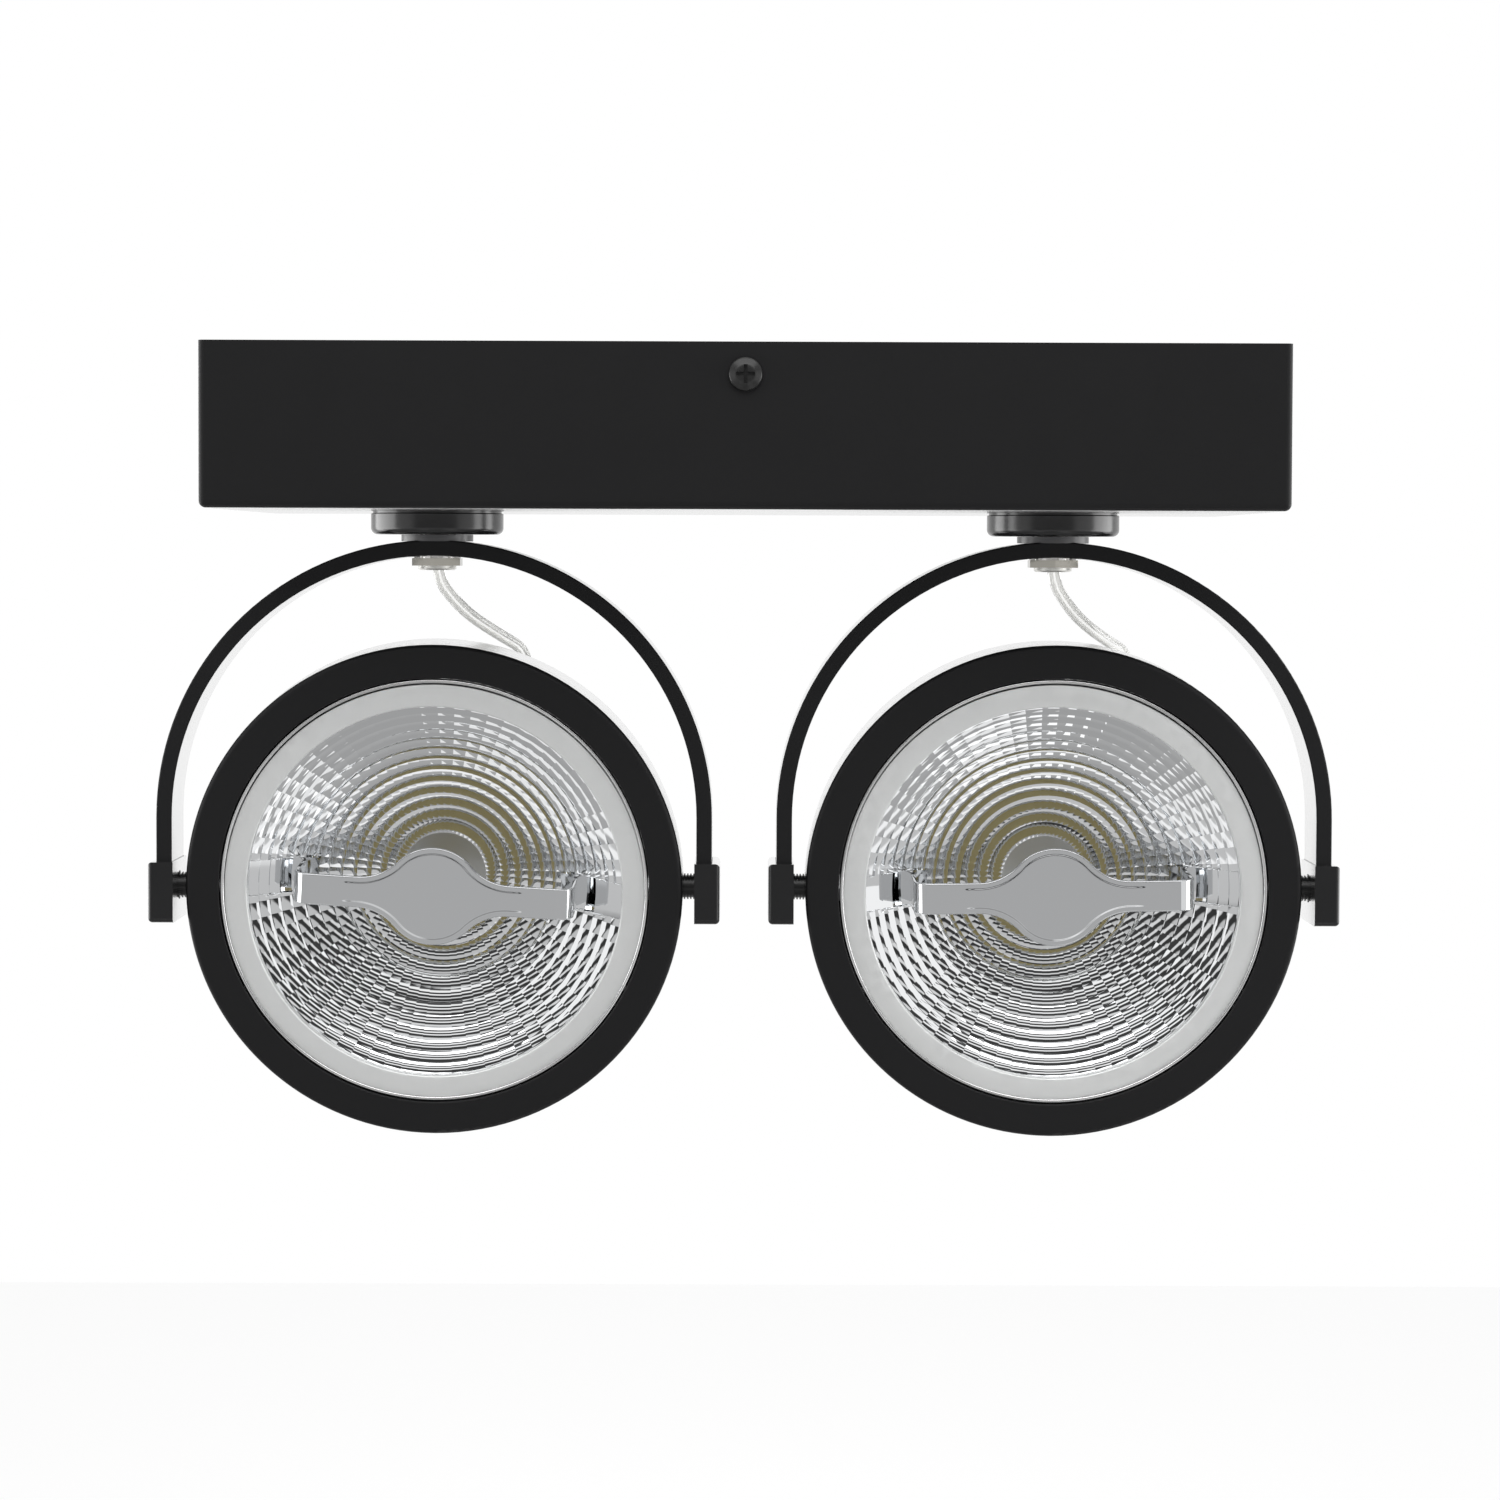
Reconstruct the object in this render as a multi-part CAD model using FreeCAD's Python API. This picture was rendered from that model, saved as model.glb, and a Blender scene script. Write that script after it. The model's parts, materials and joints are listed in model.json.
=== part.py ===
import FreeCAD, Part
import math
import os

# Two-lamp pivoting spotlight for a wall or ceiling. Millimetres.
# Frame: origin at the centre of the canopy's mounting face, +Z out of that face towards the wall or
# ceiling, +X along the canopy, -Y the side that the lamps face at rest.

# Canopy: a folded steel box, open at its mounting face
canopy_length = 270.0
canopy_depth = 120.0
canopy_height = 41.3
canopy_wall = 1.5
canopy_edge_radius = 1.8
unit_offset = 81.7            # from the canopy's centre to each swivel axis

# Clearances
face_gap = 0.1                # between flat faces that turn or are clamped
shaft_gap = 0.06              # radial running fit of pins and nipples
fit_gap = 0.3                 # loose fit of pressed and moulded pieces
seam_gap = 0.1                # between the front bezel and the housing

# Mounting bracket
bracket_width = 60.0
bracket_sheet = 2.0
bracket_flange = 16.0
bracket_slot_spacing = 70.0
bracket_slot_length = 16.0
bracket_slot_width = 5.0
bracket_bend_radius = 2.5

# Canopy screws, M4 with pan heads
canopy_screw_drop = 8.0       # below the mounting face
canopy_screw_radius = 1.95
canopy_screw_head_radius = 4.2
canopy_screw_head_height = 2.4
canopy_screw_length = 12.0
canopy_screw_hole_gap = 0.3
recess_width = 0.9
recess_length = 4.6
recess_depth = 1.4

# Cable inlet grommet in the bracket
inlet_bore_radius = 4.0
inlet_body_radius = 8.0
inlet_flange_radius = 10.5
inlet_flange_height = 1.2

# Terminal block, three poles
pole_count = 3
pole_pitch = 10.0
block_width = 16.0
block_height = 14.0
block_edge_gap = 1.0          # from the bracket's edge
clamp_radius = 2.8
clamp_bore_radius = 1.6
clamp_length = 12.0
well_radius = 2.3
well_screw_radius = 2.0
groove_depth = 2.5

# LED drivers, one for each lamp
driver_length = 92.0
driver_width = 36.0
driver_height = 21.0
driver_corner_radius = 3.0
driver_end_gap = 5.8          # from the canopy's end wall
driver_side_gap = 2.5         # from the canopy's back wall
driver_seam_width = 0.6
driver_seam_depth = 0.5
driver_lid_height = 5.0
driver_port_radius = 3.0
driver_port_depth = 4.0

# Swivel stack, from the canopy's underside down
disc_radius = 17.5
disc_height = 6.1
disc_step = 0.5
disc_edge_radius = 1.8
spacer_radius = 9.5
spacer_height = 1.7
nipple_radius = 5.0
nipple_bore_radius = 3.4
nipple_top = 6.0              # above the canopy's floor
nipple_chamfer = 0.4
nipple_lip = 1.15             # below the outer nut
lock_washer_radius = 6.2
lock_washer_height = 0.65
lock_washer_teeth = 12
lock_washer_tooth = 0.7
swivel_nut_flats = 12.7
swivel_nut_height = 2.0
inner_nut_flats = 14.0
inner_nut_height = 3.0
stop_washer_radius = 9.5
stop_washer_height = 1.0
stop_tab_reach = 13.5
stop_tab_width = 2.4
stop_rivet_radius = 1.2
stop_rivet_orbit = 12.0
stop_rivet_height = 2.2

# Yoke: a strap bent to a half circle with straight arms
yoke_head_gap = 3.6           # between the head and the strap's arms
strap_thickness = 4.1
strap_width = 18.0
strap_edge_radius = 0.4
yoke_land_depth = 0.3
yoke_land_radius = 9.8
yoke_nut_land_radius = 7.8
yoke_arm = 18.7               # from the half circle's centre down to the pivots
strap_below_pivot = 7.0

# End caps over the strap's ends
cap_cover = 2.1
cap_inner_lip = 0.5
cap_side_wall = 1.3
cap_above_pivot = 6.9
cap_below_pivot = 9.1
cap_edge_radius = 1.2

# Pivots: M4 countersunk screws in ribbed bushes
pivot_screw_radius = 2.0
pivot_head_radius = 4.0
pivot_head_height = 2.2
bush_radius = 3.5
bush_rib_count = 4
bush_groove_depth = 0.45
bush_groove_share = 0.5
pivot_nut_flats = 7.0
pivot_nut_height = 4.4

# Lamp head housing, turned about its own axis
rest_tilt_left = 5.0          # nose down, as it hangs
rest_tilt_right = 3.5
head_radius = 65.5
head_wall = 2.2
face_offset = 9.3             # from the pivots forward to the head's face
wall_end = 8.8                # from the pivots back to where the full radius ends
shoulder_radius = 6.0
pot_front_radius = 47.0
pot_front = 21.8
pot_rear_radius = 41.5
pot_rear = 46.0
pot_corner_radius = 6.0
pivot_boss_radius = 4.5
pivot_boss_depth = 2.6
pivot_pad_depth = 0.2
pivot_pad_radius = 4.0
pivot_notch_gap = 1.0         # round the bosses, in the ledge and the bezel's skirt
ledge_inner_radius = 54.0
ledge_thickness = 1.7
vent_count = 10
vent_width = 4.0
vent_front = 26.0
vent_rear = 40.0

# Front bezel
bezel_bore_radius = 56.7
bezel_depth = 4.5
bezel_edge_radius = 1.4
bezel_bore_edge = 0.4
bezel_skirt_wall = 2.6
bezel_skirt_length = 1.9

# Cable gland in the pot's side wall
gland_angle = 25.0            # from the top towards +X
gland_y = 33.5
gland_boss_radius = 7.0
gland_boss_face = 47.5        # from the head's axis
gland_boss_inner = 39.0
grommet_body_radius = 3.4
grommet_flange_radius = 5.2
grommet_flange_height = 1.6

# Lamp with a 111 mm rim
lamp_radius = 55.5
lamp_recess = 1.5             # behind the bezel's face
lamp_ring_depth = 4.9
lamp_ring_plate = 2.4
lamp_ring_skirt = 3.0
lamp_ring_rim_edge = 0.6
lamp_ring_bore_edge = 0.4
lamp_drop = 0.5               # the lamp sits this much low in its bore
lamp_roll_left = 3.0
lamp_roll_right = -1.0
reflector_mouth_radius = 49.5
reflector_floor_radius = 11.5
reflector_mouth_set_back = 2.6
reflector_depth = 23.6
reflector_floor_plate = 1.2
reflector_rings = 12
reflector_first_pitch = 4.05  # the rings narrow evenly towards the mouth
reflector_tread_share = 0.72
reflector_wall = 2.0          # along the lamp's axis
reflector_flange = 1.3
body_gap = 0.9
body_wall = 2.2
body_boss_radius = 22.0
body_boss_depth = 12.0
fin_count = 24
fin_thickness = 1.3
fin_reach = 46.0
fin_rear_reach = 27.0
fin_rear_set_back = 2.0       # short of the boss's end

# Bridge over the middle of the lamp
bridge_half_length = 36.3
bridge_width = 8.0
bridge_sheet = 1.0
bridge_bend_radius = 3.5
bridge_disc_radius = 12.95
bridge_blend_radius = 6.8
bridge_proud = 5.5            # in front of the lamp ring's face

# LED module on the back of the bridge's disc, which lights the bowl, and the lamp's base
board_radius = 11.8
board_thickness = 1.2
emitter_radius = 9.5
emitter_height = 1.0
base_length = 62.0
base_width = 15.0
base_height = 4.0
terminal_spacing = 53.0
terminal_radius = 3.2
terminal_height = 5.0

# Lamp spring clips
clip_count = 3
clip_width = 6.0
clip_sheet = 0.5
clip_leaf_gap = 0.5           # outside the lamp's rim
clip_foot_gap = 0.4           # inside the bezel's skirt
clip_tip = 1.9                # behind the bezel's face

# Link cable, from inside the nipple to the gland, relative to the swivel axis
cable_radius = 1.65
link_route = [
    (0.0, 0.0, -38.0),
    (0.3, 0.2, -59.5),
    (5.0, 2.5, -65.8),
    (13.0, 7.0, -72.0),
]
gland_run = 14.5              # from the gland boss's face to the cable's last corner

# Worked out from the sizes above
block_offset = bracket_width / 2 - block_width / 2 - block_edge_gap
driver_offset_x = (canopy_length - driver_length) / 2 - canopy_wall - driver_end_gap
driver_offset_y = (canopy_depth - driver_width) / 2 - canopy_wall - driver_side_gap
yoke_radius = head_radius + yoke_head_gap + strap_thickness
disc_bottom = -canopy_height - disc_height
spacer_top = disc_bottom - face_gap
spacer_bottom = spacer_top - spacer_height
yoke_top = spacer_bottom + yoke_land_depth
yoke_centre = yoke_top - yoke_radius
pivot_height = yoke_centre - yoke_arm
strap_inner = yoke_radius - strap_thickness
nut_land = yoke_top - strap_thickness
nipple_bottom = nut_land - lock_washer_height - swivel_nut_height - nipple_lip
canopy_floor = -canopy_height + canopy_wall
face_y = -face_offset
bezel_back = face_y + bezel_depth
housing_front = bezel_back + seam_gap
ledge_front = bezel_back + bezel_skirt_length + seam_gap
bezel_skirt_radius = head_radius - head_wall - seam_gap
clip_leaf_radius = lamp_radius + clip_leaf_gap
clip_foot_reach = bezel_skirt_radius - bezel_skirt_wall - clip_foot_gap
lamp_front = face_y + lamp_recess
ring_back = lamp_front + lamp_ring_depth
mouth_y = lamp_front + reflector_mouth_set_back
floor_y = mouth_y + reflector_depth
bowl_constant = (reflector_mouth_radius ** 2 - reflector_floor_radius ** 2) / reflector_depth
bowl_vertex = floor_y + reflector_floor_radius ** 2 / bowl_constant
floor_back = floor_y + reflector_floor_plate
boss_face = head_radius - head_wall - pivot_boss_depth
notch_half = pivot_boss_radius + pivot_notch_gap
bridge_front = lamp_front - bridge_proud
board_front = bridge_front + bridge_sheet
board_back = board_front + board_thickness
body_floor = floor_back + body_gap
boss_end = body_floor + body_boss_depth

X_AXIS = FreeCAD.Vector(1, 0, 0)
Y_AXIS = FreeCAD.Vector(0, 1, 0)
Z_AXIS = FreeCAD.Vector(0, 0, 1)
ORIGIN = FreeCAD.Vector(0, 0, 0)


def vector(x, y, z):
    return FreeCAD.Vector(x, y, z)


def cylinder(radius, length, base, direction):
    return Part.makeCylinder(radius, length, vector(*base), direction)


def tube(outer_radius, inner_radius, length, base, direction):
    return cylinder(outer_radius, length, base, direction).cut(
        cylinder(inner_radius, length, base, direction))


def block(x_range, y_range, z_range):
    size = [high - low for low, high in (x_range, y_range, z_range)]
    return Part.makeBox(size[0], size[1], size[2], vector(x_range[0], y_range[0], z_range[0]))


def hexagon(flats, height, base):
    """A hexagonal prism standing on base, with two flats facing along X."""
    corner = flats / 2 / math.cos(math.pi / 6)
    points = [vector(base[0] + corner * math.cos(math.radians(30 + 60 * k)),
                     base[1] + corner * math.sin(math.radians(30 + 60 * k)), base[2])
              for k in range(7)]
    return Part.Face(Part.makePolygon(points)).extrude(vector(0, 0, height))


def rounded_outline(corners, place):
    """A closed wire through (u, v) corners, where a third value rounds the corner to that radius."""
    count = len(corners)
    starts = []
    for k in range(count):
        corner = vector(corners[k][0], corners[k][1], 0)
        before = vector(corners[k - 1][0], corners[k - 1][1], 0)
        after = vector(corners[(k + 1) % count][0], corners[(k + 1) % count][1], 0)
        if len(corners[k]) < 3:
            starts.append((corner, None, corner))
            continue
        back = (before - corner).normalize()
        ahead = (after - corner).normalize()
        half = back.getAngle(ahead) / 2
        reach = corners[k][2] / math.tan(half)
        centre = corner + (back + ahead).normalize() * (corners[k][2] / math.sin(half))
        middle = centre + (corner - centre).normalize() * corners[k][2]
        starts.append((corner + back * reach, middle, corner + ahead * reach))
    edges = []
    for k in range(count):
        first, middle, last = [None if p is None else place(p.x, p.y) for p in starts[k]]
        following = place(starts[(k + 1) % count][0].x, starts[(k + 1) % count][0].y)
        if middle is not None:
            edges.append(Part.Arc(first, middle, last).toShape())
        if (following - last).Length > 1e-6:
            edges.append(Part.LineSegment(last, following).toShape())
    return Part.Wire(edges)


def turned_about_y(corners):
    """A solid of revolution from (radius, y) corners."""
    wire = rounded_outline(corners, lambda u, v: vector(u, v, 0))
    return Part.Face(wire).revolve(ORIGIN, Y_AXIS, 360)


def turned_about_z(corners):
    """A solid of revolution from (radius, z) corners."""
    wire = rounded_outline(corners, lambda u, v: vector(u, 0, v))
    return Part.Face(wire).revolve(ORIGIN, Z_AXIS, 360)


def mirrored(shape):
    """The same piece on the other side of the plane x = 0."""
    return shape.mirror(ORIGIN, X_AXIS)


def edges_where(shape, test):
    return [edge for edge in shape.Edges if test(edge)]


def spans(edge, axis):
    """True for a straight edge along the given axis."""
    if not isinstance(edge.Curve, Part.Line):
        return False
    return abs(abs(edge.tangentAt(edge.FirstParameter).dot(axis)) - 1) < 1e-6


def cross_recess(depth):
    """The cross-shaped recess of a screw that points along +Y, cut from y = 0."""
    half = recess_length / 2
    slim = recess_width / 2
    upright = block((-slim, slim), (0, depth), (-half, half))
    level = block((-half, half), (0, depth), (-slim, slim))
    return upright.fuse(level)


# Canopy pieces

def canopy_housing():
    half_length = canopy_length / 2
    half_depth = canopy_depth / 2
    outer = block((-half_length, half_length), (-half_depth, half_depth), (-canopy_height, 0))
    rounded = edges_where(outer, lambda e: spans(e, Z_AXIS)
                          or e.BoundBox.ZMax < -canopy_height + 0.001)
    outer = outer.makeFillet(canopy_edge_radius, rounded)
    inner_length = half_length - canopy_wall
    inner_depth = half_depth - canopy_wall
    inner = block((-inner_length, inner_length), (-inner_depth, inner_depth), (canopy_floor, 1))
    shell = outer.cut(inner)
    for side in (-1, 1):
        centre = side * unit_offset
        below = (centre, 0, -canopy_height - 1)
        shell = shell.cut(cylinder(nipple_radius + shaft_gap, canopy_wall + 2, below, Z_AXIS))
        rivet = (centre, stop_rivet_orbit, -canopy_height - 1)
        shell = shell.cut(cylinder(stop_rivet_radius, canopy_wall + 2, rivet, Z_AXIS))
    hole_start = (0, -half_depth - 1, -canopy_screw_drop)
    hole_radius = canopy_screw_radius + canopy_screw_hole_gap
    return shell.cut(cylinder(hole_radius, canopy_depth + 2, hole_start, Y_AXIS))


def mounting_bracket():
    """A folded strip across the canopy with slots, a cable hole and two tapped flanges."""
    half = canopy_depth / 2 - canopy_wall - fit_gap
    inner = half - bracket_sheet
    corners = [(-half, 0, bracket_bend_radius), (half, 0, bracket_bend_radius),
               (half, -bracket_flange), (inner, -bracket_flange),
               (inner, -bracket_sheet, bracket_bend_radius - bracket_sheet),
               (-inner, -bracket_sheet, bracket_bend_radius - bracket_sheet),
               (-inner, -bracket_flange), (-half, -bracket_flange)]
    wire = rounded_outline(corners, lambda u, v: vector(-bracket_width / 2, u, v))
    strip = Part.Face(wire).extrude(vector(bracket_width, 0, 0))
    strip = strip.cut(cylinder(inlet_body_radius + face_gap, bracket_sheet + 2,
                               (0, 0, -bracket_sheet - 1), Z_AXIS))
    slot_radius = bracket_slot_width / 2
    straight = bracket_slot_length / 2 - slot_radius
    for side in (-1, 1):
        centre = side * bracket_slot_spacing / 2
        slot = block((-slot_radius, slot_radius), (centre - straight, centre + straight),
                     (-bracket_sheet - 1, 1))
        for end in (centre - straight, centre + straight):
            slot = slot.fuse(cylinder(slot_radius, bracket_sheet + 2,
                                      (0, end, -bracket_sheet - 1), Z_AXIS))
        strip = strip.cut(slot)
    tap_start = (0, -half - 1, -canopy_screw_drop)
    tapped = cylinder(canopy_screw_radius + shaft_gap, 2 * half + 2, tap_start, Y_AXIS)
    return strip.cut(tapped)


def canopy_screws():
    front = -canopy_depth / 2
    head_top = front - canopy_screw_head_height
    corners = [(0, head_top), (canopy_screw_head_radius * 0.55, head_top, 2.0),
               (canopy_screw_head_radius, head_top + canopy_screw_head_height * 0.45, 0.8),
               (canopy_screw_head_radius, front), (canopy_screw_radius, front),
               (canopy_screw_radius, front + canopy_screw_length),
               (0, front + canopy_screw_length)]
    screw = turned_about_y(corners)
    recess = cross_recess(recess_depth + 0.5)
    recess.translate(vector(0, head_top - 0.5, 0))
    screw = screw.cut(recess)
    screw.translate(vector(0, 0, -canopy_screw_drop))
    other = screw.copy()
    other.rotate(ORIGIN, Z_AXIS, 180)
    return Part.makeCompound([screw, other])


def inlet_grommet():
    top = -face_gap
    under = -bracket_sheet
    corners = [(inlet_bore_radius, top), (inlet_body_radius, top), (inlet_body_radius, under),
               (inlet_flange_radius, under, 0.4),
               (inlet_flange_radius, under - inlet_flange_height, 0.4),
               (inlet_bore_radius, under - inlet_flange_height)]
    return turned_about_z(corners)


def pole_centres():
    first = -(pole_count - 1) * pole_pitch / 2
    return [first + pole_pitch * k for k in range(pole_count)]


def terminal_block():
    """A moulded block hung under the bracket, grooved between its poles."""
    top = -bracket_sheet - face_gap
    low = top - block_height
    half = block_width / 2
    length = pole_count * pole_pitch / 2
    body = block((block_offset - half, block_offset + half), (-length, length), (low, top))
    middle = (low + top) / 2
    for y in pole_centres():
        start = (block_offset - half - 1, y, middle)
        body = body.cut(cylinder(clamp_radius + shaft_gap, block_width + 2, start, X_AXIS))
        well = cylinder(well_radius, block_height / 2 + 1, (block_offset, y, low - 1), Z_AXIS)
        body = body.cut(well)
    for y in pole_centres()[:-1]:
        groove = y + pole_pitch / 2
        body = body.cut(block((block_offset - half - 1, block_offset + half + 1),
                              (groove - 0.6, groove + 0.6), (low - 1, low + groove_depth)))
    return body


def terminal_clamps():
    """One brass tube for each pole, with its clamping screw."""
    top = -bracket_sheet - face_gap
    low = top - block_height
    middle = (low + top) / 2
    clamps = []
    for y in pole_centres():
        start = (block_offset - clamp_length / 2, y, middle)
        screw = cylinder(well_screw_radius, middle - low - 1.5, (block_offset, y, low + 1.5), Z_AXIS)
        screw = screw.cut(block((block_offset - well_screw_radius, block_offset + well_screw_radius),
                                (y - 0.4, y + 0.4), (low, low + 2.3)))
        clamp = cylinder(clamp_radius, clamp_length, start, X_AXIS).fuse(screw)
        bore = cylinder(clamp_bore_radius, clamp_length + 2, (start[0] - 1, y, middle), X_AXIS)
        clamps.append(clamp.cut(bore))
    return Part.makeCompound(clamps)


def led_driver(side):
    """A closed driver case on the canopy's floor, with a lid seam and a lead port at each end."""
    centre = side * driver_offset_x
    x_range = (centre - driver_length / 2, centre + driver_length / 2)
    y_range = (driver_offset_y - driver_width / 2, driver_offset_y + driver_width / 2)
    top = canopy_floor + driver_height
    case = block(x_range, y_range, (canopy_floor, top))
    case = case.makeFillet(driver_corner_radius, edges_where(case, lambda e: spans(e, Z_AXIS)))
    seam_top = top - driver_lid_height
    around = case.common(block((x_range[0] - 1, x_range[1] + 1), (y_range[0] - 1, y_range[1] + 1),
                               (seam_top - driver_seam_width, seam_top)))
    inset = driver_seam_depth
    kept = block((x_range[0] + inset, x_range[1] - inset), (y_range[0] + inset, y_range[1] - inset),
                 (seam_top - driver_seam_width, seam_top))
    kept = kept.makeFillet(driver_corner_radius - inset,
                           edges_where(kept, lambda e: spans(e, Z_AXIS)))
    case = case.cut(around.cut(kept))
    port_height = canopy_floor + driver_height / 2 - 1
    for x in (x_range[0] - 1, x_range[1] - driver_port_depth):
        port = cylinder(driver_port_radius, driver_port_depth + 1,
                        (x, driver_offset_y, port_height), X_AXIS)
        case = case.cut(port)
    return case


def pan_stops():
    """One rivet beside each swivel hole, in the path of the stop washer's tab."""
    rivets = [cylinder(stop_rivet_radius, canopy_wall + stop_rivet_height,
                       (side * unit_offset, stop_rivet_orbit, -canopy_height), Z_AXIS)
              for side in (-1, 1)]
    return Part.makeCompound(rivets)


# Swivel pieces, about the swivel axis

def swivel_disc():
    top = -canopy_height
    bore = nipple_radius + shaft_gap
    step_radius = disc_radius - disc_step
    corners = [(bore, top), (step_radius, top), (step_radius, top - disc_step),
               (disc_radius, top - disc_step, 0.3), (disc_radius, disc_bottom, disc_edge_radius),
               (bore, disc_bottom)]
    return turned_about_z(corners)


def spacer_washer():
    bore = nipple_radius + shaft_gap
    return tube(spacer_radius, bore, spacer_height, (0, 0, spacer_bottom), Z_AXIS)


def hollow_nipple():
    top = canopy_floor + nipple_top
    corners = [(nipple_bore_radius, top), (nipple_radius - nipple_chamfer, top),
               (nipple_radius, top - nipple_chamfer),
               (nipple_radius, nipple_bottom + nipple_chamfer),
               (nipple_radius - nipple_chamfer, nipple_bottom),
               (nipple_bore_radius, nipple_bottom, nipple_chamfer)]
    return turned_about_z(corners)


def stop_washer():
    base = canopy_floor + face_gap
    washer = cylinder(stop_washer_radius, stop_washer_height, (0, 0, base), Z_AXIS)
    tab = block((-stop_tab_width / 2, stop_tab_width / 2), (-stop_tab_reach, 0),
                (base, base + stop_washer_height))
    bore = cylinder(nipple_radius + shaft_gap, stop_washer_height, (0, 0, base), Z_AXIS)
    return washer.fuse(tab).cut(bore).removeSplitter()


def inner_nut():
    base = canopy_floor + face_gap + stop_washer_height
    nut = hexagon(inner_nut_flats, inner_nut_height, (0, 0, base))
    return nut.cut(cylinder(nipple_radius + shaft_gap, inner_nut_height, (0, 0, base), Z_AXIS))


def lock_washer():
    """A washer with a ring of teeth round its edge."""
    base = nut_land - lock_washer_height
    root = lock_washer_radius - lock_washer_tooth
    washer = cylinder(root, lock_washer_height, (0, 0, base), Z_AXIS)
    pitch = 2 * math.pi / lock_washer_teeth
    for k in range(lock_washer_teeth):
        start = k * pitch
        reach = root - 0.3
        points = [vector(radius * math.cos(start + share * pitch),
                         radius * math.sin(start + share * pitch), base)
                  for radius, share in ((reach, 0.15), (lock_washer_radius, 0.3),
                                        (lock_washer_radius, 0.6), (reach, 0.75), (reach, 0.15))]
        washer = washer.fuse(Part.Face(Part.makePolygon(points)).extrude(
            vector(0, 0, lock_washer_height)))
    bore = cylinder(nipple_radius + shaft_gap, lock_washer_height, (0, 0, base), Z_AXIS)
    return washer.cut(bore).removeSplitter()


def swivel_nut():
    base = nut_land - lock_washer_height - swivel_nut_height
    nut = hexagon(swivel_nut_flats, swivel_nut_height, (0, 0, base))
    return nut.cut(cylinder(nipple_radius + shaft_gap, swivel_nut_height, (0, 0, base), Z_AXIS))


# Yoke pieces

def yoke():
    """The bent strap, with a flat land at its top and countersunk pivot holes."""
    foot = pivot_height - strap_below_pivot
    front = -strap_width / 2

    def at(x, z):
        return vector(x, front, z)

    outer = yoke_radius
    inner = strap_inner
    edges = [Part.LineSegment(at(-outer, foot), at(-outer, yoke_centre)).toShape(),
             Part.Arc(at(-outer, yoke_centre), at(0, yoke_top), at(outer, yoke_centre)).toShape(),
             Part.LineSegment(at(outer, yoke_centre), at(outer, foot)).toShape(),
             Part.LineSegment(at(outer, foot), at(inner, foot)).toShape(),
             Part.LineSegment(at(inner, foot), at(inner, yoke_centre)).toShape(),
             Part.Arc(at(inner, yoke_centre), at(0, nut_land), at(-inner, yoke_centre)).toShape(),
             Part.LineSegment(at(-inner, yoke_centre), at(-inner, foot)).toShape(),
             Part.LineSegment(at(-inner, foot), at(-outer, foot)).toShape()]
    strap = Part.Face(Part.Wire(edges)).extrude(vector(0, strap_width, 0))
    long_edges = edges_where(strap, lambda e: not spans(e, Y_AXIS)
                             and e.BoundBox.ZMax > foot + 1)
    strap = strap.makeFillet(strap_edge_radius, long_edges)
    strap = strap.cut(cylinder(yoke_land_radius, strap_thickness, (0, 0, spacer_bottom), Z_AXIS))
    strap = strap.cut(cylinder(yoke_nut_land_radius, strap_thickness,
                               (0, 0, nut_land - strap_thickness), Z_AXIS))
    strap = strap.cut(cylinder(nipple_radius + shaft_gap, strap_thickness + 2,
                               (0, 0, nut_land - 1), Z_AXIS))
    hole = cylinder(pivot_screw_radius + shaft_gap, strap_thickness + 2,
                    (inner - 1, 0, pivot_height), X_AXIS)
    sink = Part.makeCone(pivot_screw_radius + shaft_gap, pivot_head_radius + shaft_gap,
                         pivot_head_height, vector(outer - pivot_head_height, 0, pivot_height), X_AXIS)
    drilled = hole.fuse(sink)
    return strap.cut(drilled).cut(mirrored(drilled))


def end_cap():
    """The moulded cap over one strap end, open at the top where the strap enters."""
    half = strap_width / 2 + cap_side_wall
    inner = strap_inner - cap_inner_lip
    outer = yoke_radius + cap_cover
    low = pivot_height - cap_below_pivot
    top = pivot_height + cap_above_pivot
    cap = block((inner, outer), (-half, half), (low, top))
    rounded = edges_where(cap, lambda e: e.BoundBox.XMin > outer - 0.001
                          or (spans(e, X_AXIS) and e.BoundBox.ZMax < low + 0.001))
    cap = cap.makeFillet(cap_edge_radius, rounded)
    clear = face_gap
    side = strap_width / 2 + clear
    pocket = block((strap_inner - clear, yoke_radius + clear), (-side, side),
                   (pivot_height - strap_below_pivot - clear, top + 1))
    cap = cap.cut(pocket)
    bore = cylinder(bush_radius + fit_gap, 3, (inner - 1, 0, pivot_height), X_AXIS)
    return cap.cut(bore)


def yoke_end_caps():
    cap = end_cap()
    return Part.makeCompound([cap, mirrored(cap)])


def pivot_screws():
    """Countersunk screws that pass through the strap, the bush and the head's wall."""
    tip = boss_face - pivot_nut_height - face_gap - 1
    shank = cylinder(pivot_screw_radius, yoke_radius - pivot_head_height - tip,
                     (tip, 0, pivot_height), X_AXIS)
    head = Part.makeCone(pivot_screw_radius, pivot_head_radius, pivot_head_height,
                         vector(yoke_radius - pivot_head_height, 0, pivot_height), X_AXIS)
    recess = cross_recess(recess_depth)
    recess.rotate(ORIGIN, Z_AXIS, 90)
    recess.translate(vector(yoke_radius, 0, pivot_height))
    screw = shank.fuse(head).cut(recess).removeSplitter()
    return Part.makeCompound([screw, mirrored(screw)])


def pivot_nuts():
    """Nuts inside the head, which clamp its wall between the bush and themselves."""
    nut = hexagon(pivot_nut_flats, pivot_nut_height, (0, 0, 0))
    nut = nut.cut(cylinder(pivot_screw_radius + shaft_gap, pivot_nut_height, (0, 0, 0), Z_AXIS))
    nut.rotate(ORIGIN, Y_AXIS, 90)
    nut.translate(vector(boss_face - face_gap - pivot_nut_height, 0, pivot_height))
    return Part.makeCompound([nut, mirrored(nut)])


# Head pieces, about the pivots' centre

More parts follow.
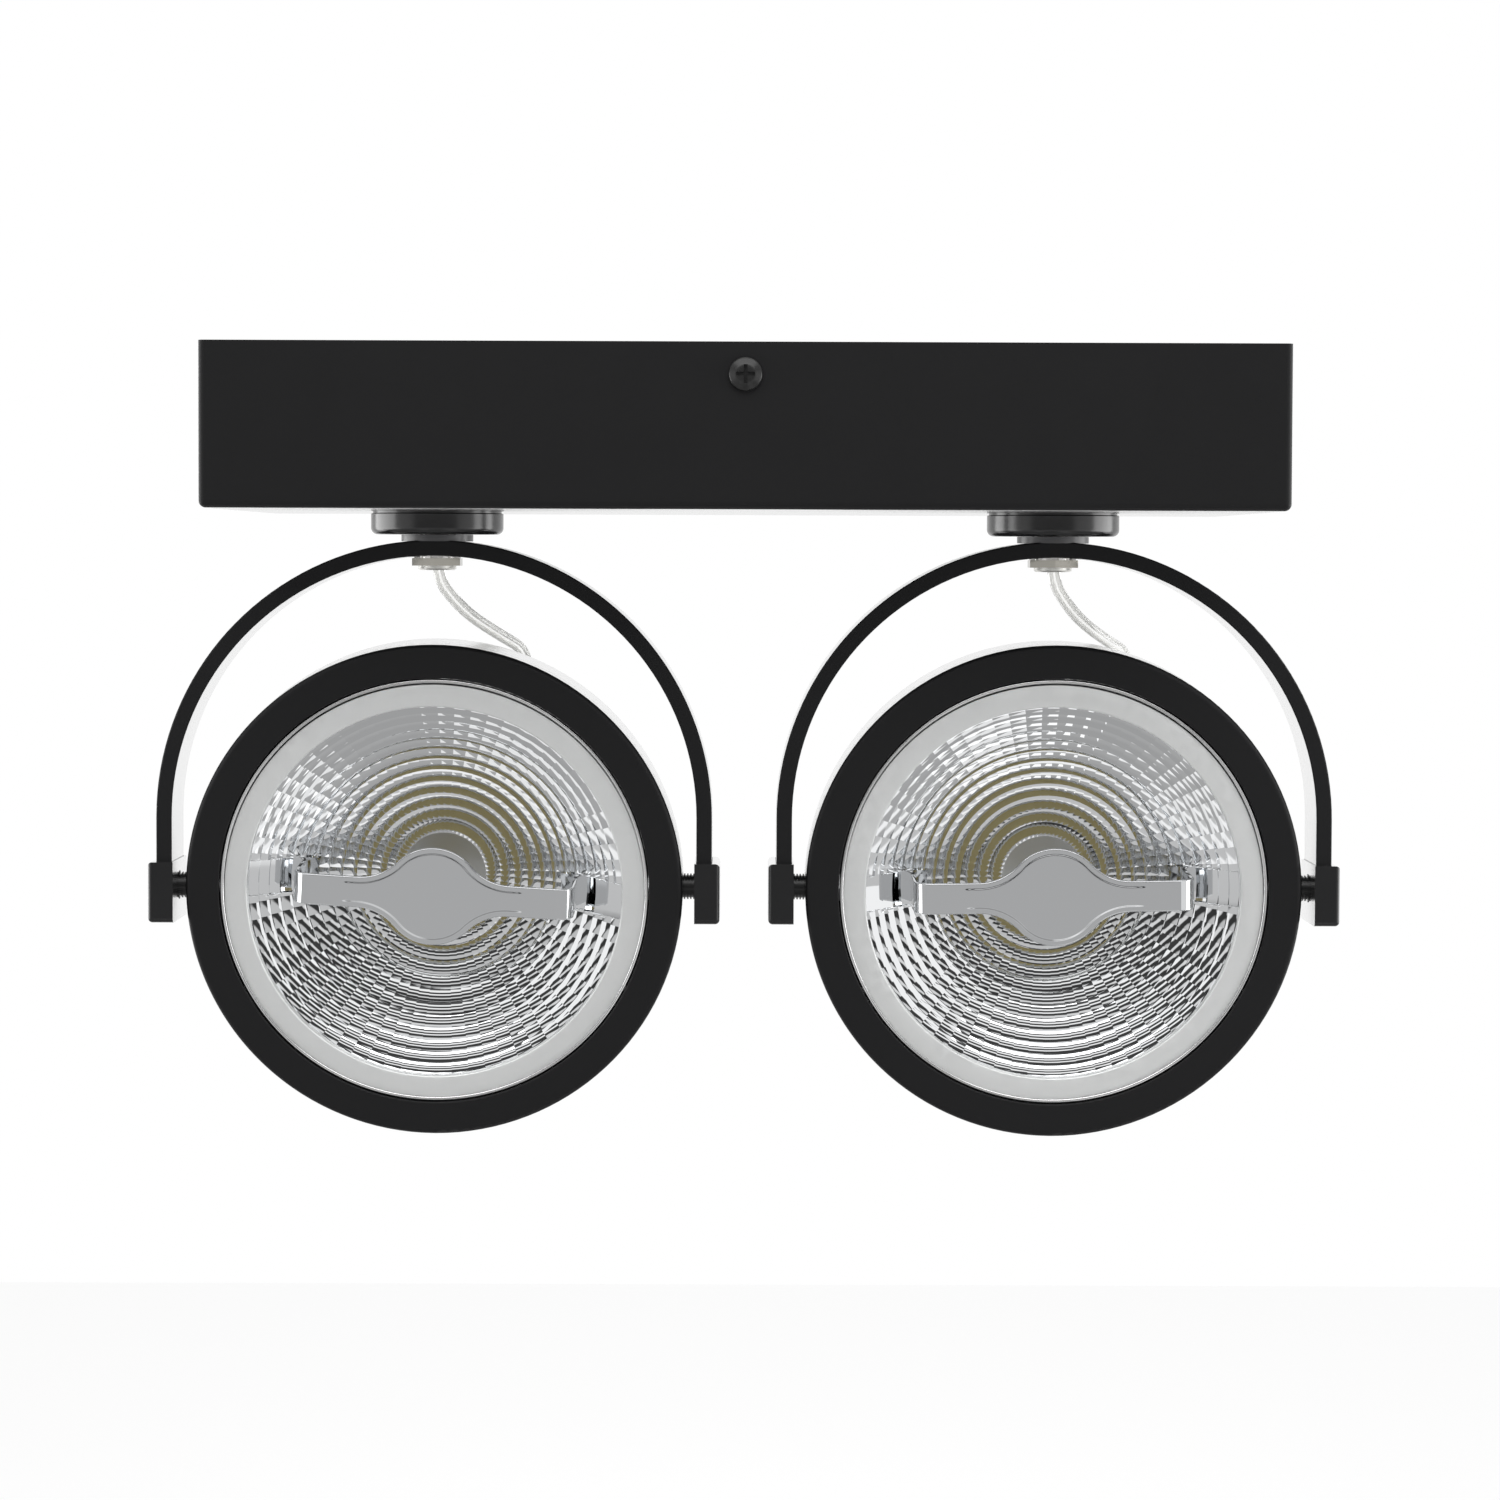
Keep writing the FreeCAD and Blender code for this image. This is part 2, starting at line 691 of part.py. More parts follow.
def pivot_bushes():
    """Ribbed spacers between the head and the yoke's arms."""
    start = head_radius - pivot_pad_depth
    end = strap_inner - face_gap
    bore = pivot_screw_radius + shaft_gap
    pitch = (end - start) / (bush_rib_count + bush_groove_share)
    corners = [(bore, start)]
    root = bush_radius - bush_groove_depth
    for k in range(bush_rib_count):
        low = start + k * pitch + pitch * bush_groove_share
        corners += [(root, start + k * pitch), (root, low), (bush_radius, low),
                    (bush_radius, start + (k + 1) * pitch)]
    corners += [(root, start + bush_rib_count * pitch), (root, end), (bore, end)]
    bush = turned_about_z(corners)
    bush.rotate(ORIGIN, Y_AXIS, 90)
    return Part.makeCompound([bush, mirrored(bush)])


def gland_direction():
    angle = math.radians(gland_angle)
    return vector(math.sin(angle), 0, math.cos(angle))


def along_gland(reach):
    """The point at this distance from the head's axis, on the cable gland's own axis."""
    point = gland_direction() * reach
    return (point.x, gland_y, point.z)


def head_housing():
    """The cast pot: full radius at the pivots, a round shoulder, and a tapered rear.

    The ledge that the lamp rests on is cut away round the pivots."""
    inner = head_radius - head_wall
    corners = [(inner, housing_front), (head_radius, housing_front),
               (head_radius, wall_end, shoulder_radius),
               (pot_front_radius, pot_front, shoulder_radius),
               (pot_rear_radius, pot_rear, pot_corner_radius), (0, pot_rear),
               (0, pot_rear - head_wall),
               (pot_rear_radius - head_wall, pot_rear - head_wall, pot_corner_radius - head_wall),
               (pot_front_radius - head_wall, pot_front - head_wall / 2,
                shoulder_radius + head_wall),
               (inner, wall_end - head_wall / 2, shoulder_radius - head_wall),
               (inner, ledge_front + ledge_thickness),
               (ledge_inner_radius, ledge_front + ledge_thickness),
               (ledge_inner_radius, ledge_front), (inner, ledge_front)]
    housing = turned_about_y(corners)
    notch = cylinder(notch_half, boss_face - ledge_inner_radius + 1, (ledge_inner_radius - 1, 0, 0),
                     X_AXIS)
    housing = housing.cut(notch).cut(mirrored(notch))
    boss = cylinder(pivot_boss_radius, pivot_boss_depth + head_wall / 2, (boss_face, 0, 0), X_AXIS)
    gland_boss = cylinder(gland_boss_radius, gland_boss_face - gland_boss_inner,
                          along_gland(gland_boss_inner), gland_direction())
    housing = housing.fuse([boss, mirrored(boss), gland_boss])
    hole = cylinder(pivot_screw_radius + shaft_gap, head_radius - boss_face + 2,
                    (boss_face - 1, 0, 0), X_AXIS)
    pad = cylinder(pivot_pad_radius, 3, (head_radius - pivot_pad_depth, 0, 0), X_AXIS)
    for cutter in (hole, pad):
        housing = housing.cut(cutter).cut(mirrored(cutter))
    housing = housing.cut(cylinder(grommet_body_radius + face_gap, gland_boss_face,
                                   along_gland(gland_boss_inner - 5), gland_direction()))
    half = vent_width / 2
    slot = block((-half, half), (vent_front + half, vent_rear - half),
                 (pot_rear_radius - 2 * head_wall, pot_front_radius + 5))
    for end in (vent_front + half, vent_rear - half):
        slot = slot.fuse(cylinder(half, pot_front_radius + 5 - pot_rear_radius + 2 * head_wall,
                                  (0, end, pot_rear_radius - 2 * head_wall), Z_AXIS))
    for k in range(vent_count):
        vent = slot.copy()
        vent.rotate(ORIGIN, Y_AXIS, gland_angle + (k + 0.5) * 360 / vent_count)
        housing = housing.cut(vent)
    return housing.removeSplitter()


def front_bezel():
    """The ring round the lamp, with a skirt inside the housing's wall, cut away at the pivots."""
    skirt_inner = bezel_skirt_radius - bezel_skirt_wall
    corners = [(bezel_bore_radius, face_y, bezel_bore_edge),
               (head_radius, face_y, bezel_edge_radius), (head_radius, bezel_back),
               (bezel_skirt_radius, bezel_back),
               (bezel_skirt_radius, bezel_back + bezel_skirt_length),
               (skirt_inner, bezel_back + bezel_skirt_length), (skirt_inner, bezel_back),
               (bezel_bore_radius, bezel_back)]
    bezel = turned_about_y(corners)
    notch = block((skirt_inner - 2, head_radius),
                  (bezel_back, bezel_back + bezel_skirt_length + 1), (-notch_half, notch_half))
    return bezel.cut(notch).cut(mirrored(notch))


def lamp_clips():
    """Leaf springs on the housing's ledge that grip the lamp's rim."""
    tip = face_y + clip_tip
    foot = ledge_front
    leaf = clip_leaf_radius + clip_sheet
    corners = [(clip_leaf_radius, tip), (leaf, tip), (leaf, foot - clip_sheet, clip_sheet),
               (clip_foot_reach, foot - clip_sheet), (clip_foot_reach, foot),
               (clip_leaf_radius, foot, 2 * clip_sheet)]
    wire = rounded_outline(corners, lambda u, v: vector(-clip_width / 2, v, u))
    clip = Part.Face(wire).extrude(vector(clip_width, 0, 0))
    clips = []
    for k in range(clip_count):
        turned = clip.copy()
        turned.rotate(ORIGIN, Y_AXIS, k * 360 / clip_count)
        clips.append(turned)
    return Part.makeCompound(clips)


def cable_grommet():
    base = gland_boss_inner - grommet_flange_height
    length = gland_boss_face - base
    body = cylinder(grommet_body_radius, length, along_gland(base), gland_direction())
    flange = cylinder(grommet_flange_radius, grommet_flange_height, along_gland(gland_boss_face),
                      gland_direction())
    flange = flange.makeFillet(0.5, edges_where(
        flange, lambda e: (e.CenterOfMass - flange.CenterOfMass).dot(gland_direction()) > 0.1
        and isinstance(e.Curve, Part.Circle)))
    bore = cylinder(cable_radius + face_gap, 2 * length, along_gland(base - length / 2),
                    gland_direction())
    return body.fuse(flange).cut(bore).removeSplitter()


# Lamp pieces, on the head's axis

def bowl_y(radius):
    """Depth of the reflector's parabola at this radius."""
    return bowl_vertex - radius ** 2 / bowl_constant


def bowl_radius(y):
    return math.sqrt((bowl_vertex - y) * bowl_constant)


def ring_radii():
    """Where the reflector's rings begin and end, from the floor to the mouth."""
    span = reflector_mouth_radius - reflector_floor_radius
    steps = reflector_rings * (reflector_rings - 1) / 2
    change = (reflector_rings * reflector_first_pitch - span) / steps
    radii = [reflector_floor_radius]
    for k in range(reflector_rings):
        radii.append(radii[-1] + reflector_first_pitch - k * change)
    return radii


def lamp_ring():
    back = lamp_front + lamp_ring_plate
    skirt_inner = lamp_radius - lamp_ring_skirt
    corners = [(reflector_mouth_radius, lamp_front, lamp_ring_bore_edge),
               (lamp_radius, lamp_front, lamp_ring_rim_edge),
               (lamp_radius, ring_back), (skirt_inner, ring_back), (skirt_inner, back),
               (reflector_mouth_radius, back)]
    return turned_about_y(corners)


def lamp_reflector():
    """The bowl: rings of treads and risers inside, a smooth back, and slots for the bridge."""
    stairs = [(0, floor_back), (0, floor_y)]
    radii = ring_radii()
    for inner, outer in zip(radii, radii[1:]):
        drop = (bowl_y(inner) - bowl_y(outer)) * reflector_tread_share
        stairs += [(inner, bowl_y(inner)), (outer, bowl_y(inner) - drop)]
    flange_front = lamp_front + lamp_ring_plate + face_gap
    flange_back = flange_front + reflector_flange
    flange_radius = lamp_radius - lamp_ring_skirt - face_gap
    stairs += [(reflector_mouth_radius, flange_front), (flange_radius, flange_front),
               (flange_radius, flange_back)]
    mouth = bowl_radius(flange_back - reflector_wall)
    throat = bowl_radius(floor_back - reflector_wall)
    middle = (mouth + throat) / 2
    back = [vector(mouth, flange_back, 0), vector(middle, bowl_y(middle) + reflector_wall, 0),
            vector(throat, floor_back, 0)]
    points = [vector(r, y, 0) for r, y in stairs]
    edges = [Part.LineSegment(a, b).toShape() for a, b in zip(points, points[1:] + back[:1])]
    edges.append(Part.Arc(*back).toShape())
    edges.append(Part.LineSegment(back[2], points[0]).toShape())
    bowl = Part.Face(Part.Wire(edges)).revolve(ORIGIN, Y_AXIS, 360)
    half = bridge_width / 2 + 2 * face_gap
    slot = block((bridge_half_length - bridge_sheet - face_gap, bridge_half_length + face_gap),
                 (lamp_front, floor_back), (-half, half))
    return bowl.cut(slot).cut(mirrored(slot))


def lamp_bridge():
    """The folded strip over the lamp's middle: a plate with a disc, and two legs."""
    front = bridge_front
    leg_end = bowl_y(bridge_half_length) + reflector_wall / 2
    outer = bridge_half_length
    inner = outer - bridge_sheet
    corners = [(-outer, front, bridge_bend_radius), (outer, front, bridge_bend_radius),
               (outer, leg_end), (inner, leg_end),
               (inner, front + bridge_sheet, bridge_bend_radius - bridge_sheet),
               (-inner, front + bridge_sheet, bridge_bend_radius - bridge_sheet),
               (-inner, leg_end), (-outer, leg_end)]
    half = bridge_width / 2
    wire = rounded_outline(corners, lambda u, v: vector(u, v, -half))
    strip = Part.Face(wire).extrude(vector(0, 0, bridge_width))
    return strip.fuse(bridge_disc(front)).removeSplitter()


def bridge_disc(front):
    """The round middle of the bridge, with concave blends into the strip."""
    half = bridge_width / 2
    reach = bridge_disc_radius + bridge_blend_radius
    blend_x = math.sqrt(reach ** 2 - (half + bridge_blend_radius) ** 2)
    touch = bridge_disc_radius / reach
    touch_x = blend_x * touch
    touch_z = (half + bridge_blend_radius) * touch
    blend_angle = math.atan2(half + bridge_blend_radius, blend_x)
    middle_angle = (math.pi + blend_angle - math.pi / 2) / 2 + math.pi / 2
    dip_x = blend_x + bridge_blend_radius * math.cos(middle_angle + math.pi / 2)
    dip_z = half + bridge_blend_radius + bridge_blend_radius * math.sin(middle_angle + math.pi / 2)

    def at(x, z):
        return vector(x, front, z)

    edges = [Part.LineSegment(at(blend_x, -half), at(blend_x, half)).toShape(),
             Part.Arc(at(blend_x, half), at(dip_x, dip_z), at(touch_x, touch_z)).toShape(),
             Part.Arc(at(touch_x, touch_z), at(0, bridge_disc_radius),
                      at(-touch_x, touch_z)).toShape(),
             Part.Arc(at(-touch_x, touch_z), at(-dip_x, dip_z), at(-blend_x, half)).toShape(),
             Part.LineSegment(at(-blend_x, half), at(-blend_x, -half)).toShape(),
             Part.Arc(at(-blend_x, -half), at(-dip_x, -dip_z), at(-touch_x, -touch_z)).toShape(),
             Part.Arc(at(-touch_x, -touch_z), at(0, -bridge_disc_radius),
                      at(touch_x, -touch_z)).toShape(),
             Part.Arc(at(touch_x, -touch_z), at(dip_x, -dip_z), at(blend_x, -half)).toShape()]
    return Part.Face(Part.Wire(edges)).extrude(vector(0, bridge_sheet, 0))


def lamp_body():
    """The heat sink behind the reflector: a bowl with a boss and a ring of fins at its back."""
    front = lamp_front + lamp_ring_plate + 2 * face_gap + reflector_flange
    outer_radius = lamp_radius - lamp_ring_skirt - face_gap
    shift = reflector_wall + body_gap
    mouth = bowl_radius(front - shift)
    throat = bowl_radius(body_floor - shift)
    middle = (mouth + throat) / 2
    shoulder_y = ring_back
    waist = body_floor + body_wall
    outer_shift = shift + body_wall
    outer_middle = (outer_radius + body_boss_radius) / 2
    inner_curve = [vector(throat, body_floor, 0), vector(middle, bowl_y(middle) + shift, 0),
                   vector(mouth, front, 0)]
    outer_curve = [vector(outer_radius, shoulder_y, 0),
                   vector(outer_middle, bowl_y(outer_middle) + outer_shift + body_gap, 0),
                   vector(body_boss_radius, waist, 0)]
    edges = [Part.LineSegment(vector(0, body_floor, 0), inner_curve[0]).toShape(),
             Part.Arc(*inner_curve).toShape(),
             Part.LineSegment(inner_curve[2], vector(outer_radius, front, 0)).toShape(),
             Part.LineSegment(vector(outer_radius, front, 0), outer_curve[0]).toShape(),
             Part.Arc(*outer_curve).toShape(),
             Part.LineSegment(outer_curve[2], vector(body_boss_radius, boss_end, 0)).toShape(),
             Part.LineSegment(vector(body_boss_radius, boss_end, 0),
                              vector(0, boss_end, 0)).toShape(),
             Part.LineSegment(vector(0, boss_end, 0), vector(0, body_floor, 0)).toShape()]
    body = Part.Face(Part.Wire(edges)).revolve(ORIGIN, Y_AXIS, 360)
    return body.fuse(body_fins(shift + body_wall / 2)).removeSplitter()


def body_fins(inside):
    """Flat fins from the boss out to the bowl, rooted inside the bowl's wall."""
    root = body_boss_radius - 0.5
    rear = boss_end - fin_rear_set_back
    roots = [root + share * (fin_reach - root) for share in (1.0, 0.67, 0.33)]
    outline = [(radius, bowl_y(radius) + inside) for radius in roots]
    outline += [(root, body_floor + body_wall / 2), (root, rear), (fin_rear_reach, rear)]
    points = [vector(radius, y, -fin_thickness / 2) for radius, y in outline]
    fin = Part.Face(Part.makePolygon(points + points[:1])).extrude(vector(0, 0, fin_thickness))
    fins = []
    for k in range(fin_count):
        turned = fin.copy()
        turned.rotate(ORIGIN, Y_AXIS, (k + 0.5) * 360 / fin_count)
        fins.append(turned)
    return fins


def led_board():
    return cylinder(board_radius, board_thickness, (0, board_front, 0), Y_AXIS)


def led_emitter():
    """The light source, which faces back into the bowl."""
    end = board_back + emitter_height
    corners = [(0, board_back), (emitter_radius, board_back), (emitter_radius, end, 0.3), (0, end)]
    return turned_about_y(corners)


def lamp_base():
    start = boss_end
    bar = block((-base_length / 2, base_length / 2), (start, start + base_height),
                (-base_width / 2, base_width / 2))
    return bar.makeFillet(4.0, edges_where(bar, lambda e: spans(e, Y_AXIS)))


def lamp_terminals():
    start = boss_end + base_height
    posts = []
    for side in (-1, 1):
        centre = side * terminal_spacing / 2
        post = cylinder(terminal_radius, terminal_height, (centre, start, 0), Y_AXIS)
        slot = block((centre - terminal_radius, centre + terminal_radius),
                     (start + terminal_height - 1.2, start + terminal_height + 1), (-0.5, 0.5))
        posts.append(post.cut(slot))
    return Part.makeCompound(posts)


# Link cable

def cable_path(points):
    """Straight runs joined by tangent arcs, each as large as its two runs allow."""
    edges = []
    radii = []
    last = points[0]
    length = 0.0
    for before, corner, after in zip(points, points[1:], points[2:]):
        back = before - corner
        ahead = after - corner
        half_turn = (math.pi - back.getAngle(ahead)) / 2
        reach = 0.45 * min(back.Length, ahead.Length)
        radius = reach / math.tan(half_turn)
        back.normalize()
        ahead.normalize()
        centre = corner + (back + ahead).normalize() * (radius / math.cos(half_turn))
        middle = centre + (corner - centre).normalize() * radius
        first = corner + back * reach
        second = corner + ahead * reach
        edges.append(Part.LineSegment(last, first).toShape())
        edges.append(Part.Arc(first, middle, second).toShape())
        radii.append(radius)
        last = second
    edges.append(Part.LineSegment(last, points[-1]).toShape())
    length = sum(edge.Length for edge in edges)
    return Part.Wire(edges), radii, length


def link_cable(tilt):
    """The cable on its way to the gland of a head that hangs with this tilt."""
    head_centre = vector(0, 0, pivot_height)
    points = [vector(*point) for point in link_route]
    for reach in (gland_boss_face + gland_run, gland_boss_inner):
        point = FreeCAD.Rotation(X_AXIS, tilt).multVec(vector(*along_gland(reach)))
        points.append(head_centre + point)
    path, radii, length = cable_path(points)
    start = (points[1] - points[0]).normalize()
    section = Part.Wire(Part.makeCircle(cable_radius, points[0], start))
    cable = path.makePipeShell([section], True, False)
    print("link cable radii", [round(radius, 1) for radius in radii], "length", round(length, 1))
    print("link cable volume", round(cable.Volume, 1), "section times length",
          round(math.pi * cable_radius ** 2 * length, 1))
    return cable


# Assembly

def placed(shape, x):
    moved = shape.copy()
    moved.translate(vector(x, 0, 0))
    return moved


def hung(shape, tilt, x):
    """A head piece, tilted nose down about the pivots."""
    moved = shape.copy()
    moved.rotate(ORIGIN, X_AXIS, tilt)
    moved.translate(vector(x, 0, pivot_height))
    return moved


def seated(shape, roll):
    """A lamp piece, turned a little about the lamp's axis and low in the bezel's bore."""
    moved = shape.copy()
    moved.rotate(ORIGIN, Y_AXIS, roll)
    moved.translate(vector(0, 0, -lamp_drop))
    return moved


def build_nodes():
    nodes = {
        "canopy_housing": canopy_housing(),
        "mounting_bracket": mounting_bracket(),
        "canopy_screws": canopy_screws(),
        "inlet_grommet": inlet_grommet(),
        "terminal_block": terminal_block(),
        "terminal_clamps": terminal_clamps(),
        "pan_stops": pan_stops(),
        "led_driver_left": led_driver(-1),
        "led_driver_right": led_driver(1),
    }
    swivel_pieces = {
        "swivel_disc": swivel_disc(), "spacer_washer": spacer_washer(),
        "hollow_nipple": hollow_nipple(), "stop_washer": stop_washer(), "inner_nut": inner_nut(),
        "lock_washer": lock_washer(), "swivel_nut": swivel_nut(), "yoke": yoke(),
        "yoke_end_caps": yoke_end_caps(), "pivot_screws": pivot_screws(),
        "pivot_nuts": pivot_nuts(),
    }
    head_pieces = {
        "head_housing": head_housing(), "front_bezel": front_bezel(),
        "pivot_bushes": pivot_bushes(), "lamp_clips": lamp_clips(),
        "cable_grommet": cable_grommet(),
    }
    lamp_pieces = {
        "lamp_ring": lamp_ring(), "lamp_reflector": lamp_reflector(),
        "lamp_bridge": lamp_bridge(), "lamp_body": lamp_body(), "led_board": led_board(),
        "led_emitter": led_emitter(), "lamp_base": lamp_base(),
        "lamp_terminals": lamp_terminals(),
    }
    for side, x, tilt, roll in (("left", -unit_offset, rest_tilt_left, lamp_roll_left),
                                ("right", unit_offset, rest_tilt_right, lamp_roll_right)):
        for name, shape in swivel_pieces.items():
            nodes[name + "_" + side] = placed(shape, x)
        nodes["link_cable_" + side] = placed(link_cable(tilt), x)
        for name, shape in head_pieces.items():
            nodes[name + "_" + side] = hung(shape, tilt, x)
        for name, shape in lamp_pieces.items():
            nodes[name + "_" + side] = hung(seated(shape, roll), tilt, x)
    return nodes


def main():
    os.makedirs("parts", exist_ok=True)
    for name, shape in build_nodes().items():
        if not shape.isValid():
            print("invalid shape", name)
        shape.exportStep("parts/" + name + ".step")


main()
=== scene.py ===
import json
import math
import bpy
from mathutils import Matrix, Vector

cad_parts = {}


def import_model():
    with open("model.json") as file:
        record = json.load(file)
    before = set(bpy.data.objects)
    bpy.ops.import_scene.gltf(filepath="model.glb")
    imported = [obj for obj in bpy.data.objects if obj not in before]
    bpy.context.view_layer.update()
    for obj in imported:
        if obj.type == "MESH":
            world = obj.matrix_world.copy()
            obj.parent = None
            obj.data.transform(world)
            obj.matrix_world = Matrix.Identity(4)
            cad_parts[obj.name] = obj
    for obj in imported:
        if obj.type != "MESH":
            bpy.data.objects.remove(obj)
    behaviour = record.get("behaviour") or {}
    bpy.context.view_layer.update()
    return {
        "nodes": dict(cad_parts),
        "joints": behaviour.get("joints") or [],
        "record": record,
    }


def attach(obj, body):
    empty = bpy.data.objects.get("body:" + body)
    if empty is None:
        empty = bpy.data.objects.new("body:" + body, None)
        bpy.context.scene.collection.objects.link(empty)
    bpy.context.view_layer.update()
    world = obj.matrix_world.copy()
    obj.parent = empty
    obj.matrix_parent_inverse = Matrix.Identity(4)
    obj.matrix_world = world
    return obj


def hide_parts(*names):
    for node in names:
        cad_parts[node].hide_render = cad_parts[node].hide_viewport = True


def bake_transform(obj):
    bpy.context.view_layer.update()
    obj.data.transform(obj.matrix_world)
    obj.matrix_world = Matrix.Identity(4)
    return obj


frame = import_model()

# Lengths of the object are in millimetres and angles in degrees. The camera's place and the
# studio are in metres.
MM = 0.001
SIDES = ("left", "right")

# The heads: their pivots in metres, and how far they hang nose down
PIVOT = {joint["name"].split("_")[1]: Vector(joint["pos_m"])
         for joint in frame["joints"] if joint["name"].startswith("tilt")}
REST_TILT = {"left": 5.0, "right": 3.5}
LAMP_ROLL = {"left": 3.5, "right": -1.0}
LAMP_DROP = 0.5

# The lamp's faceted bowl, from the pivots, with y back into the head
LAMP_FRONT = -7.8
RING_PLATE = 2.4
PLATE_GAP = 0.1
FLANGE_DEPTH = 1.3
FLANGE_RADIUS = 52.4
MOUTH_RADIUS = 49.5
MOUTH_SET_BACK = 2.6
BOWL_DEPTH = 23.6
FLOOR_RADIUS = 11.5
FLOOR_PLATE = 1.2
BOWL_WALL = 2.0
BACK_CELLS = 8
RING_COUNT = 12
FIRST_PITCH = 4.05
TREAD_SHARE = 0.40
FACET_COUNT = 68
FACET_CELLS = 5
PILLOW_RISE_OUTWARD = 0.055
PILLOW_RISE_AROUND = 0.014
CHANNEL_HALF = 4.6
CHANNEL_START = 35.6
CHANNEL_LAP = 3.0
CHANNEL_CELLS = 8
SEAT_END = 41.5
SEAT_RISE = 1.6
ANGLE_SLACK = 1e-9

# The lamp's ring and the wire ring that holds it
LAMP_RADIUS = 55.5
RING_DEPTH = 4.9
RING_SKIRT = 2.6
RIM_EDGE = 0.18
BORE_EDGE = 0.5
EDGE_CELLS = 5
RING_TURNS = 192
WIRE_RADIUS = 55.95
WIRE_HALF_WIDTH = 0.5
WIRE_HALF_DEPTH = 0.34
WIRE_FRONT = -8.72
WIRE_CELLS = 12

# The bridge: a strip with a disc, blended necks, a faint raised panel and two legs. Each HOLD
# is how far from an edge or a slope another row of points keeps the face flat.
BRIDGE_FRONT = -13.3
BRIDGE_END = 37.0
BRIDGE_HALF_WIDTH = 4.1
BRIDGE_SHEET = 1.0
BRIDGE_BEND = 5.0
BRIDGE_DISC = 12.95
BRIDGE_BLEND = 14.0
BRIDGE_EDGE = 0.3
EDGE_INSETS = (0.0, 0.04, 0.1, 0.19, BRIDGE_EDGE)
EDGE_HOLD = 0.05
PANEL_INSET = 1.6
PANEL_STEP = 0.1
PANEL_SLOPE = 0.2
PANEL_HOLD = 0.28
PANEL_END = 24.0
PANEL_FADE = 3.0
FLAT_CELLS = 80
BEND_CELLS = 12
SLOPE_STEP = 0.01
SHARP_ANGLE = 35.0

# The link cables: the solids' points from each swivel's axis, moved a little to the photograph
CABLE_ROUTE = {
    "left": [(-0.7, 0.0, -38.0), (-1.1, 0.3, -57.5), (5.5, 2.5, -66.4), (11.6, 9.0, -71.7)],
    "right": [(-0.7, 0.0, -38.0), (-1.0, 0.3, -57.5), (5.4, 2.5, -67.6), (13.2, 9.0, -73.8)],
}
GLAND_ANGLE = 25.0
GLAND_BACK = 33.5
GLAND_CORNER = {"left": 62.2, "right": 63.5}
GLAND_INSIDE = 39.0
SPLINE_ORDER = 3
SPLINE_CELLS = 12
CABLE_RADIUS = 1.65
CABLE_TURNS = 20
CONDUCTOR_RADIUS = 0.48
CONDUCTOR_OFFSET = 0.62
CONDUCTOR_TURNS = 12

# The camera and the photograph's frame
CAMERA_PLACE = Vector((0.00036, -0.8363, -0.0518))
CAMERA_PITCH = -1.78
CAMERA_YAW = 0.07
CAMERA_ROLL = 0.2
CLIP_START = 0.01
FOCAL_PIXELS = 3148.0
FRAME_PIXELS = 1500.0
CENTRE_ROW = 650.0
SENSOR = 36.0

# The studio. What mirrors see turns from the room to white as their view passes the object's
# plane, over WHITE_EDGE to both sides of it.
FLOOR_HEIGHT = -0.95
FLOOR_HALF = 3.0
FLOOR_COLOUR = (0.85, 0.85, 0.85)
FLOOR_ROUGHNESS = 0.9
FLOOR_GLOW = 0.5
AMBIENT = 0.5
WHITE_EDGE = 0.12

# What mirrors see of the room in front, from 0 straight below to 1 straight above, with the
# sine of the elevation between them: (place, brightness)
ROOM_LEVELS = ((0.0, 0.38), (0.14, 0.38), (0.22, 0.42), (0.275, 0.42), (0.29, 1.0),
               (0.318, 1.0), (0.333, 0.58), (0.41, 0.56), (0.425, 0.04), (0.465, 0.04),
               (0.475, 0.75), (0.505, 0.75), (0.515, 0.05), (0.58, 0.05), (0.59, 1.0),
               (0.625, 1.0), (0.635, 0.05), (0.68, 0.05), (0.69, 1.0), (0.73, 1.0),
               (0.74, 0.08), (0.77, 0.08), (0.785, 1.0), (1.0, 1.0))

# Softboxes and cards stand around this point.
STUDIO_CENTRE = Vector((0, 0, -0.14))
SOFTBOX_DISTANCE = 1.2

# Azimuth, elevation, width, height, brightness
SOFTBOXES = {
    "softbox_right": (88, -2, 1.30, 0.62, 4.0),
    "softbox_left": (-98, -2, 1.30, 0.62, 4.0),
    "softbox_above": (0, 50, 1.60, 0.73, 1.75),
}

# Azimuth, elevation, distance, width, height, brightness
CARDS = {
    "card_low_right": (21, -31, 0.89, 0.24, 0.16, 1.2),
    "card_low_left": (-26, -32, 0.83, 0.20, 0.25, 0.9),
    "card_low_side": (34, -45, 0.96, 0.24, 0.30, 0.9),
    "card_right": (54, 3, 0.89, 0.56, 0.50, 1.0),
    "card_left": (-57, 8, 0.94, 0.56, 0.56, 1.0),
}

# Surfaces: the grain, patches of roughness in grains, and the gloss of black coats, which comes
# in over a range of views from 0 face on to 1 edge on
GRAIN_DETAIL = 3.0
NOISE_RANGE = (0.3, 0.7)
COAT_PATCH = 30
COAT_DRIFT = 0.02
METAL_PATCH = 40
GRAZE_RANGE = (0.66, 0.84)
GRAZE_SHARE = 0.88
GRAZE_ROUGHNESS = 0.2
CLEAR_INDEX = 1.45


# Materials

def shader_of(name, colour):
    material = bpy.data.materials.new(name)
    material.use_nodes = True
    shader = material.node_tree.nodes["Principled BSDF"]
    shader.inputs["Base Color"].default_value = (*colour, 1)
    return material, material.node_tree, shader


